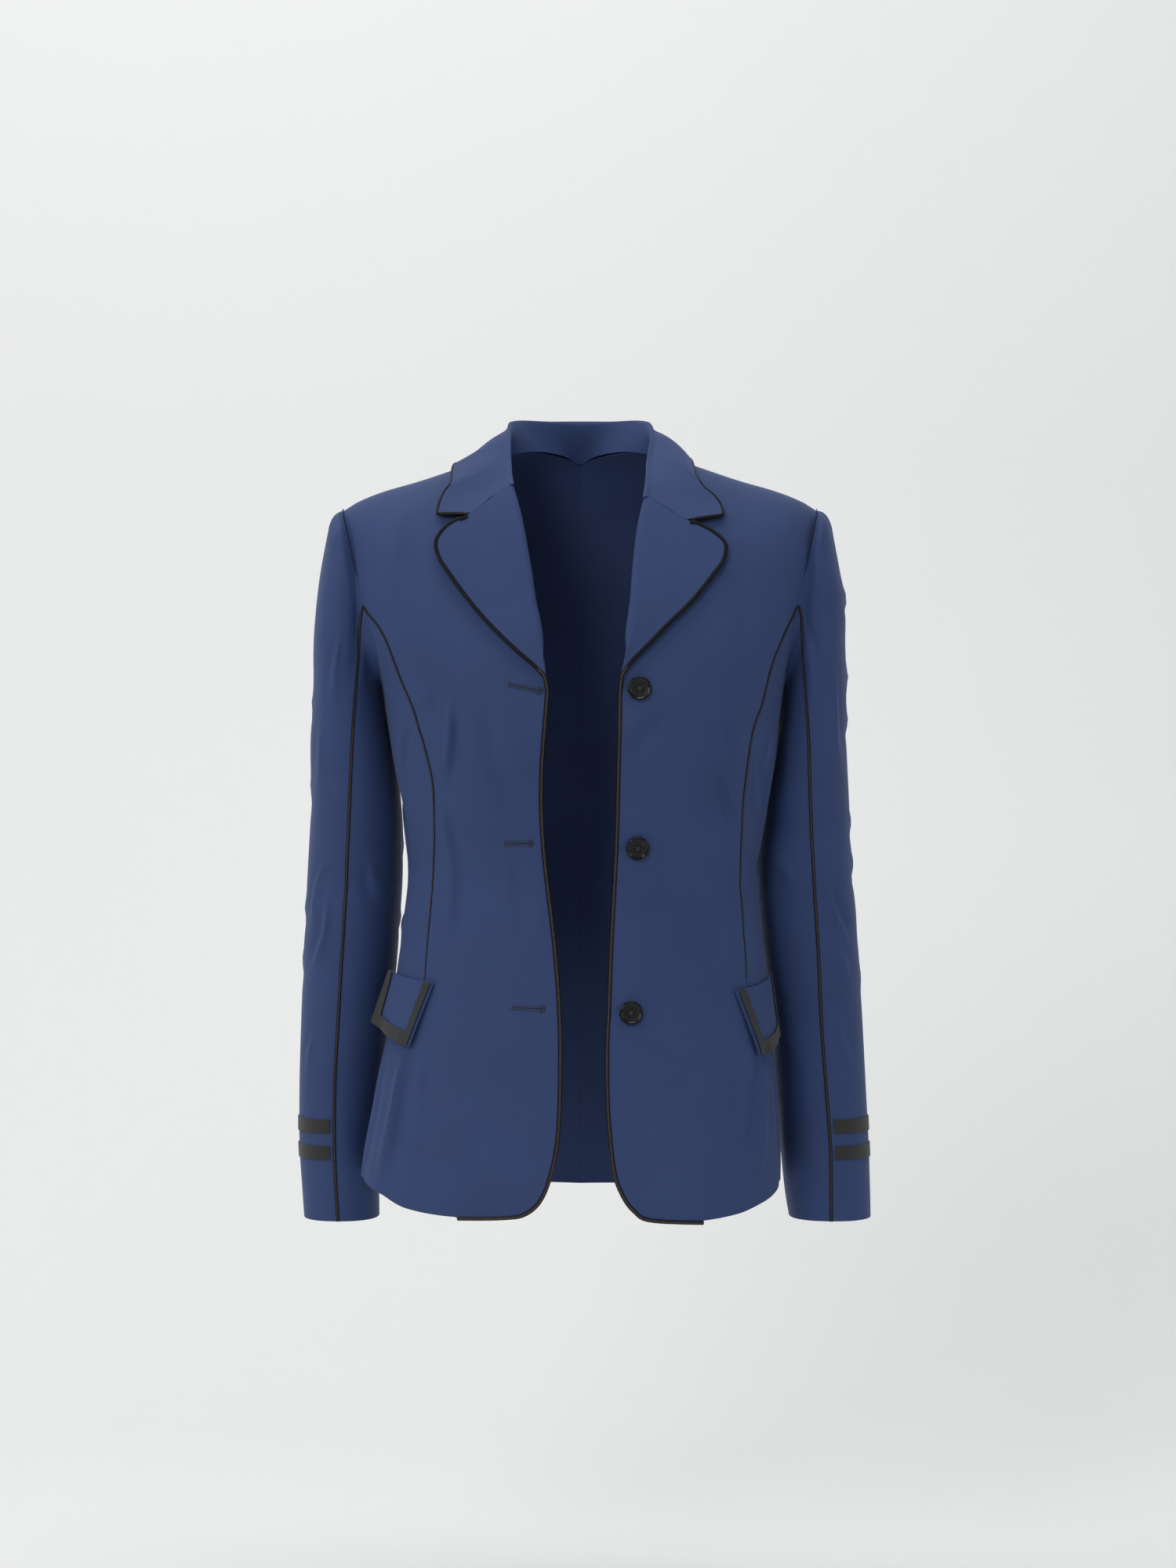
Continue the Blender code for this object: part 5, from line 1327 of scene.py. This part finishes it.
flap = {"rows": 24, "cells": 40, "flareStart": 0.6}
ribbon = {
    "wall": 0.7, "flapFront": 7.2, "flapLow": 12.0, "flapRear": 11.5,
    "flapInset": (1.7, 0.6, 0.5),  # from the flap's front, rear and lower edge
    "widthCells": 6, "flapStart": 0.01, "flapRise": 0.2, "cuffRise": 0.35,
    "cuffWidth": 12.0, "cuffReach": (0.03, 0.99), "cuffCells": 80,
    "colour": (0.0080, 0.0080, 0.0082), "light": (0.0165, 0.0165, 0.0165), "roughness": 0.78,
    "ribsPerMm": 1.1,
}


# Grosgrain: fine ribs across a matt ribbon
def ribbonMaterial():
    material, tree, shader = newMaterial("grosgrainRibbon")
    fabric = addNode(tree, "ShaderNodeUVMap", uv_map="fabric")
    lines = {"Scale": ribbon["ribsPerMm"] / 3.0, "Distortion": 0.3}
    ribs = addNode(tree, "ShaderNodeTexWave", lines, bands_direction="X")
    grain = addNode(tree, "ShaderNodeTexNoise", {"Scale": 1.1, "Detail": 3.0})
    for node in (ribs, grain):
        tree.links.new(fabric.outputs["UV"], node.inputs["Vector"])
    mixColours(tree, ramp(tree, grain.outputs["Fac"], 0.35, 0.75), ribbon["colour"], ribbon["light"], shader)
    addBump(tree, ribs.outputs["Fac"], 0.4, 0.0002, shader)
    shader.inputs["Roughness"].default_value = ribbon["roughness"]
    shader.inputs["Sheen Weight"].default_value = 0.1
    return material


ribbonLook = ribbonMaterial()


# Points and directions of a flap's face, v of the way down it and u of the way back
def flapSurface(side, v, u, lift=0.0):
    corners = flapCorners[side]
    found = {}
    for name, angle, z, off, flare in zip(*corners.values()):
        found[name] = np.array((math.radians(angle), z - yokeZ, off, flare))
    v, u = np.asarray(v, float)[..., None], np.asarray(u, float)[..., None]
    front = blend(found["topFront"], found["lowFront"], v)
    end = blend(found["topRear"], found["lowRear"], v)
    place, start = blend(front, end, u), flap["flareStart"]
    flare = end[..., 3:] * np.maximum((u - start) / (1 - start), 0) ** 2
    face, normal = onBody(side, place)
    return face + normal * (place[..., 2:3] + flare + lift)


def addFlap(side):
    rows, columns = flap["rows"], flap["cells"]
    v, u = np.meshgrid(np.linspace(0, 1, rows + 1), np.linspace(0, 1, columns + 1), indexing="ij")
    points = flapSurface(side, v, u)
    mesh = shell(points, gridNormals(points, side), np.ones((rows, columns), bool), cloth["wall"])
    dress("flapCloth_" + sides[side], "flap_" + sides[side], mesh)
    addFlapBand(side)


# Ribbon along the front, bottom and rear edge of a flap
def addFlapBand(side):
    corners = flapSurface(side, np.array((0, 1, 1, 1)), np.array((0, 0, 0.5, 1)))
    tall = np.linalg.norm(corners[1] - corners[0])
    wide = np.linalg.norm(corners[2] - corners[1]) + np.linalg.norm(corners[3] - corners[2])
    low = ribbon["flapLow"] / tall
    front, rear = ribbon["flapFront"] / wide, ribbon["flapRear"] / wide
    inFront, inRear, inLow = ribbon["flapInset"]
    edge = (inFront / wide, 1 - inRear / wide, 1 - inLow / tall)
    rows, columns = flap["rows"] + 1, flap["cells"] + 1
    down = np.linspace(ribbon["flapStart"], edge[2], rows)
    v = np.concatenate((down, np.full(columns - 2, edge[2]), down[::-1]))
    along = np.linspace(edge[0], edge[1], columns)
    u = np.concatenate((np.full(rows, edge[0]), along[1:-1], np.full(rows, edge[1])))
    share = np.linspace(0, 1, ribbon["widthCells"] + 1)
    inV, inU = v * (1 - low), blend(front, 1 - rear, (u - edge[0]) / (edge[1] - edge[0]))
    v, u = blend(v[:, None], inV[:, None], share), blend(u[:, None], inU[:, None], share)
    points = flapSurface(side, v, u, ribbon["flapRise"] + ribbon["wall"])
    mesh = ribbonCloth(points, gridNormals(points, -side), rowUv(points)[..., ::-1])
    name = sides[side]
    dress("flapBand_" + name, "flap_band_" + name, mesh, "ribbon", ribbonLook)


def ribbonCloth(points, normals, uv=None):
    mask = np.ones((points.shape[0] - 1, points.shape[1] - 1), bool)
    return shell(points, normals, mask, ribbon["wall"], uv, gap=0.0, soften=0.2)


# Point and direction of the sleeve's creased outside
def sleeveSurface(side, share, z):
    angle = sleeveAngle(side, share, z)
    around = tubePoint(side, angle + 0.02, z) - tubePoint(side, angle - 0.02, z)
    up = tubePoint(side, angle, z + 0.5) - tubePoint(side, angle, z - 0.5)
    normal = unit(np.cross(around, up)) * side
    here = tubePoint(side, angle, z)
    sizes = sleeveSizes[side]
    middleX = (read(sizes, "outer", z) + read(sizes, "inner", z)) / 2
    middle = stacked(side * middleX, read(sizes, "middle", z), z)
    normal = normal * np.where(dot(normal, here - middle) < 0, -1, 1)
    return here + normal * sleeveCrease(side, angle, z)[..., None], normal


# Two bars of ribbon on the top sleeve, from the front seam to the back seam
def addCuffRibbons(side):
    for number, top in enumerate(cuffRibbonTops, 1):
        down = top - np.linspace(0, ribbon["cuffWidth"], ribbon["widthCells"] + 1)
        around = np.linspace(*ribbon["cuffReach"], ribbon["cuffCells"] + 1)
        z, share = np.meshgrid(down, around, indexing="ij")
        points, normals = sleeveSurface(side, share, z)
        mesh = ribbonCloth(points + normals * (ribbon["cuffRise"] + ribbon["wall"]), normals)
        name = sides[side] + "_" + str(number)
        made = dress("cuffRibbon_" + name, "cuff_ribbon_" + name, mesh, "ribbon", ribbonLook)


# Buttons and their thread

button = {
    "steps": 64, "holeRadius": 1.0, "holeSpread": 2.6, "holeSteps": 20, "seat": 0.5,
    "turned": (0.3, -0.15, 0.5),  # how far each button is turned on its thread
    "colour": (0.0012, 0.0012, 0.0014), "middle": (0.0045, 0.0042, 0.0048),
    "dish": 6.9, "rim": 0.8, "gloss": 0.08, "satin": 0.5, "shine": 0.28,
}
thread = {
    "radius": 0.33, "slip": 0.34, "over": 0.25, "crown": 2.7,
    # A stitch from its hole: towards the other hole, out, and its share of the height over a crossed stitch
    "rise": ((0.0, 0.1, 0.0), (0.1, 1.9, 0.0), (0.55, 2.55, 0.4)),
    "colour": (0.010, 0.011, 0.016), "light": (0.03, 0.03, 0.04),
}
# Outline of a button from its axis underneath, round its rim and into its dish: radius and height
buttonRings = table(
    "radius height",
    (0.0, 0.0), (8.0, 0.0), (8.9, 0.25), (9.55, 0.9), (9.9, 1.7), (10.0, 2.4), (9.85, 2.95),
    (9.5, 3.35), (9.05, 3.52), (8.6, 3.5), (8.2, 3.3), (7.85, 2.95), (7.4, 2.6), (6.8, 2.4),
    (5.6, 2.25), (4.6, 2.2), (0.0, 2.2),
)


# Glossy rim round a satin dish
def buttonMaterial():
    material, tree, shader = newMaterial("blackButton")
    place = addNode(tree, "ShaderNodeUVMap", uv_map="fabric")
    reach = addNode(tree, "ShaderNodeVectorMath", operation="LENGTH")
    tree.links.new(place.outputs["UV"], reach.inputs[0])
    rim = ramp(tree, reach.outputs["Value"], button["dish"], button["dish"] + button["rim"])
    mixColours(tree, rim, button["middle"], button["colour"], shader)
    gloss = addNode(tree, "ShaderNodeMapRange", {"To Min": button["satin"], "To Max": button["gloss"]})
    tree.links.new(rim, gloss.inputs["Value"])
    tree.links.new(gloss.outputs["Result"], shader.inputs["Roughness"])
    shader.inputs["Specular IOR Level"].default_value = button["shine"]
    return material


buttonLook = buttonMaterial()
threadLook = grainMaterial("buttonThread", thread["colour"], thread["light"], 0.6, 3.0, 0.3)


# A turned button with four holes and its sewing thread
def addButton(number, x, z):
    place = spots(1, x, z)
    seat, axis = onBody(1, place)
    middle = seat + axis * button["seat"]
    across = unit(np.cross(axis, np.array((0.0, 0.0, 1.0))))
    other = np.cross(axis, across)
    cos, sin = math.cos(button["turned"][number - 1]), math.sin(button["turned"][number - 1])
    across, other = across * cos + other * sin, other * cos - across * sin
    steps = button["steps"]
    angles = turn * np.arange(steps) / steps
    around = np.cos(angles)[:, None] * across + np.sin(angles)[:, None] * other
    outline = list(zip(buttonRings["radius"], buttonRings["height"]))
    points = [middle[None]]
    for radius, height in outline[1:-1]:
        points.append(middle + axis * height + around * radius)
    points.append((middle + axis * outline[-1][1])[None])
    points = np.concatenate(points)
    k = np.arange(steps)
    after = (k + 1) % steps
    rings = len(outline) - 2
    last = 1 + (rings - 1) * steps
    faces = np.stack((np.zeros_like(k), 1 + after, 1 + k), axis=1).tolist()
    faces += np.stack((last + k, last + after, np.full_like(k, len(points) - 1)), axis=1).tolist()
    for ring in range(rings - 1):
        a = 1 + ring * steps
        faces += np.stack((a + k, a + after, a + steps + after, a + steps + k), axis=1).tolist()
    flat = (points - middle) @ np.stack((across, other), axis=1)
    made = makePiece("buttonTop_" + str(number), points, faces, flat, "button", buttonLook)
    holes = []
    for k in range(4):
        angle = turn * (k + 0.5) / 4
        outwards = across * math.cos(angle) + other * math.sin(angle)
        holes.append(middle + outwards * button["holeSpread"])
    drills = []
    for hole in holes:
        path = [hole - axis * 2, hole + axis * 6]
        drills.append(tube(path, button["holeSteps"], button["holeRadius"], across))
    drill = makePiece("drill_" + str(number), *gather(drills), "button", buttonLook)
    cut = made.modifiers.new("holes", "BOOLEAN")
    cut.operation, cut.solver, cut.object = "DIFFERENCE", "EXACT", drill
    bpy.context.view_layer.objects.active = made
    bpy.ops.object.modifier_apply(modifier=cut.name)
    bpy.data.objects.remove(drill)
    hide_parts("button_" + str(number))
    stitches = []
    for first, second in ((0, 2), (1, 3)):
        for slip in (-thread["slip"], thread["slip"]):
            along = unit(holes[second] - holes[first])
            off = np.cross(axis, along) * slip
            over = thread["over"] if first else 0.0
            a, b = holes[first] + off, holes[second] + off
            path = [a + along * near + axis * (out + over * share) for near, out, share in thread["rise"]]
            path.append(blend(a, b, 0.5) + axis * (thread["crown"] + over))
            for near, out, share in thread["rise"][::-1]:
                path.append(b - along * near + axis * (out + over * share))
            path = refine(np.array(path)[:, None], [4] * 6)[:, 0]
            stitches.append(tube(path, 8, thread["radius"], other))
    makePiece("buttonThread_" + str(number), *gather(stitches), "button", threadLook)


# Buttonholes

buttonhole = {
    "rim": 1.35, "eye": 1.488, "throat": 0.45, "thread": 0.42, "pitch": 1.15, "overlap": 1.12,
    # Slit half width, bar length, count and step, and how far the dark strip of painted shade reaches past
    # the stitches
    "slit": 0.3, "bar": 5.2, "bars": 4, "barStep": 0.28, "shadeReach": 0.5,
    # A stitch from the slit to the rim: share of the way and height
    "arch": ((0.0, -0.1), (0.08, 0.35), (0.4, 0.6), (0.75, 0.55), (1.0, 0.15)),
    "barArch": (0.0, 0.45, 0.62, 0.45, 0.0),
    # Thread colours, then the colours of the strip of painted shade in the slit and round the stitches
    "colour": (0.023, 0.041, 0.092), "light": (0.034, 0.058, 0.122),
    "slitShadeColour": (0.005, 0.008, 0.020), "slitShadeLight": (0.008, 0.013, 0.032),
}
# Ends of each buttonhole on the left front: the eye, then the bar
buttonholeEnds = table(
    "eyeX eyeZ barX barZ",
    (-33.8, -204.2, -60.1, -198.9),
    (-42.0, -332.3, -63.8, -332.3),
    (-32.1, -471.2, -57.1, -470.1),
)
holeLook = grainMaterial("buttonholeThread", buttonhole["colour"], buttonhole["light"], 0.6, 3.0, 0.3)
# Dark grain for the strip of painted shade
slitShadeLook = grainMaterial("buttonholeSlitShade", buttonhole["slitShadeColour"], buttonhole["slitShadeLight"], 0.8, 2.0, 0.1)
print("materials ready")


# A keyhole buttonhole: close stitches round a slit, a bar at its end, and a dark strip of painted shade under
# them
def addButtonhole(number, eye, tail):
    eye, tail = np.array(eye), np.array(tail)
    along = (tail - eye) / np.linalg.norm(tail - eye)
    side = np.array((-along[1], along[0]))
    length = np.linalg.norm(tail - eye)
    eyeSize, rim = buttonhole["eye"], buttonhole["rim"]
    throat = math.asin(buttonhole["throat"])
    outline = []
    for angle in np.linspace(throat, turn - throat, 25):
        outline.append(eye + (along * math.cos(angle) + side * math.sin(angle)) * eyeSize)
    far = eye + along * length
    outline += [far - side * buttonhole["slit"], far + side * buttonhole["slit"], outline[0]]
    outline = np.array(outline)
    reached = distances(outline)
    count = int(reached[-1] / (buttonhole["thread"] * buttonhole["pitch"]))
    wanted = np.linspace(0, reached[-1], count, endpoint=False)

    def onOutline(at):
        return np.stack([np.interp(at % reached[-1], reached, outline[:, k]) for k in range(2)], axis=1)

    path = onOutline(wanted)
    step = onOutline(wanted + 0.3) - path
    out = unit(np.stack((step[:, 1], -step[:, 0]), axis=1))
    centre = path.mean(axis=0)
    if ((path - centre) * out).sum() < 0:
        out = -out

    def lay(flat, height):
        points, normals = onBody(-1, spots(-1, flat[:, 0], flat[:, 1]))
        return points + normals * height

    parts = []
    lines = [lay(path + out * rim * share, height) for share, height in buttonhole["arch"]]
    radius = buttonhole["thread"] / 2
    for k in range(len(path)):
        parts.append(tube([line[k] for line in lines], 5, radius * buttonhole["overlap"]))
    heights = np.array(buttonhole["barArch"])[:, None]
    for k in range(buttonhole["bars"]):
        place = far + along * (0.2 + k * buttonhole["barStep"])
        ends = place + side * np.linspace(-0.5, 0.5, len(heights))[:, None] * buttonhole["bar"]
        parts.append(tube(lay(ends, heights), 5, radius))
    makePiece("buttonhole_" + str(number), *gather(parts), "cloth", holeLook)
    # Strip of painted shade under the stitches: it fills the slit and reaches past the stitches as their
    # contact shadow
    head = eyeSize + rim + buttonhole["shadeReach"]
    reach = np.concatenate((np.linspace(-head * 0.97, head, 30), np.linspace(head, length + 0.4, 22)[1:]))
    eyeHalf = np.sqrt(np.maximum(head**2 - reach**2, 0))
    straightHalf = buttonhole["slit"] + rim + buttonhole["shadeReach"]
    width = np.where(reach > 0, np.maximum(eyeHalf, straightHalf), eyeHalf)[:, None]
    middle = eye + reach[:, None] * along
    left, right = lay(middle - side * width, 0.08), lay(middle + side * width, 0.08)
    grid = np.stack((left, blend(left, right, 0.5), right), axis=1)
    normals = gridNormals(grid)
    normals *= np.sign(dot(normals, np.array((0.0, -1.0, 0.0))))
    mesh = shell(grid, normals, np.ones((len(reach) - 1, 2), bool), 0.1, gap=0.0, soften=0.02)
    makePiece("buttonholeSlitShade_" + str(number), *mesh, "cloth", slitShadeLook)


for side in (-1, 1):
    front = addBody(side)
    sleeve = addSleeve(side)
    print(sides[side] + " body and sleeve made")
    lapelCord = addLapelPiping(side, *addLapel(side))
    addFlap(side)
    addCuffRibbons(side)
    addSeamPiping(side, sleeve)
    addFrontPiping(side, front, lapelCord)
    print(sides[side] + " lapel, flap, ribbons and piping made")
addCollarPiping(*addCollar())
print("collar made")
for number, (x, z) in enumerate(zip(buttonPlaces["x"], buttonPlaces["z"]), 1):
    addButton(number, x, z)
for number, (eyeX, eyeZ, barX, barZ) in enumerate(zip(*buttonholeEnds.values()), 1):
    addButtonhole(number, (eyeX, eyeZ), (barX, barZ))
print("buttons and buttonholes made")
# Floor, backdrop, light and camera

stage = {
    "floor": -1.02, "front": -4.2, "bendStart": 1.0, "bend": 1.2, "top": 4.2, "wide": 5.0,
    "colour": (0.80, 0.80, 0.79), "light": (0.84, 0.84, 0.83), "roughness": 0.9,
    "sky": (0.92, 0.95, 1.0, 1), "skyPower": 0.33,
}
lights = {
    "keyLight": {"place": (-1.2, -2.9, 1.1), "aim": (0, 0, -0.3), "size": (1.0, 1.0), "power": 31},
    "leftLight": {"place": (-2.9, -1.2, 0.6), "aim": (0, 0, -0.3), "size": (0.9, 1.6), "power": 21},
    "rightLight": {"place": (2.9, -1.3, 0.4), "aim": (0, 0, -0.3), "size": (0.9, 1.6), "power": 15},
    "topLight": {"place": (0.0, 0.1, 2.2), "aim": (0, 0, -0.3), "size": (2.2, 1.6), "power": 8},
    "wallLight": {"place": (-0.7, -0.3, 3.2), "aim": (0, 2.2, -0.2), "size": (4.0, 1.4), "power": 73},
}
view = {"place": (0.0068, -3.2, -0.2822), "lens": 84.7, "sensor": 36}


# Pale floor that curves up behind into a plain wall
def addBackdrop():
    start, bend, low = stage["bendStart"], stage["bend"], stage["floor"]
    line = [(stage["front"], low), (start, low)]
    for angle in np.linspace(0, math.pi / 2, 25)[1:]:
        line.append((start + bend * math.sin(angle), low + bend * (1 - math.cos(angle))))
    line.append((start + bend, stage["top"]))
    points = [(x, y, z) for y, z in line for x in (-stage["wide"], stage["wide"])]
    faces = [(2 * k, 2 * k + 1, 2 * k + 3, 2 * k + 2) for k in range(len(line) - 1)]
    mesh = bpy.data.meshes.new("backdrop")
    mesh.from_pydata(points, [], faces)
    floor = bpy.data.objects.new("backdrop", mesh)
    bpy.context.scene.collection.objects.link(floor)
    mesh.shade_smooth()
    material, tree, shader = newMaterial("paleBackdrop")
    place = addNode(tree, "ShaderNodeTexCoord")
    cloud = addNode(tree, "ShaderNodeTexNoise", {"Scale": 0.8, "Detail": 1.0})
    tree.links.new(place.outputs["Object"], cloud.inputs["Vector"])
    mixColours(tree, cloud.outputs["Fac"], stage["colour"], stage["light"], shader)
    shader.inputs["Roughness"].default_value = stage["roughness"]
    mesh.materials.append(material)


def addLight(name, place, aim, size, power):
    data = bpy.data.lights.new(name, "AREA")
    data.shape, data.size, data.size_y, data.energy = "RECTANGLE", size[0], size[1], power
    light = bpy.data.objects.new(name, data)
    bpy.context.scene.collection.objects.link(light)
    light.location = place
    light.rotation_euler = (Vector(aim) - Vector(place)).to_track_quat("-Z", "Y").to_euler()


addBackdrop()
for name, light in lights.items():
    addLight(name, **light)
world = bpy.data.worlds.new("paleWorld")
bpy.context.scene.world = world
world.use_nodes = True
sky = world.node_tree.nodes["Background"]
sky.inputs["Color"].default_value = stage["sky"]
sky.inputs["Strength"].default_value = stage["skyPower"]

bpy.context.scene.view_settings.view_transform = "Standard"

camera = bpy.data.objects.new("camera", bpy.data.cameras.new("camera"))
bpy.context.scene.collection.objects.link(camera)
camera.location = view["place"]
camera.rotation_euler = (math.pi / 2, 0, 0)
camera.data.lens = view["lens"]
camera.data.sensor_width = view["sensor"]
bpy.context.scene.camera = camera
print("stage, light and camera set")
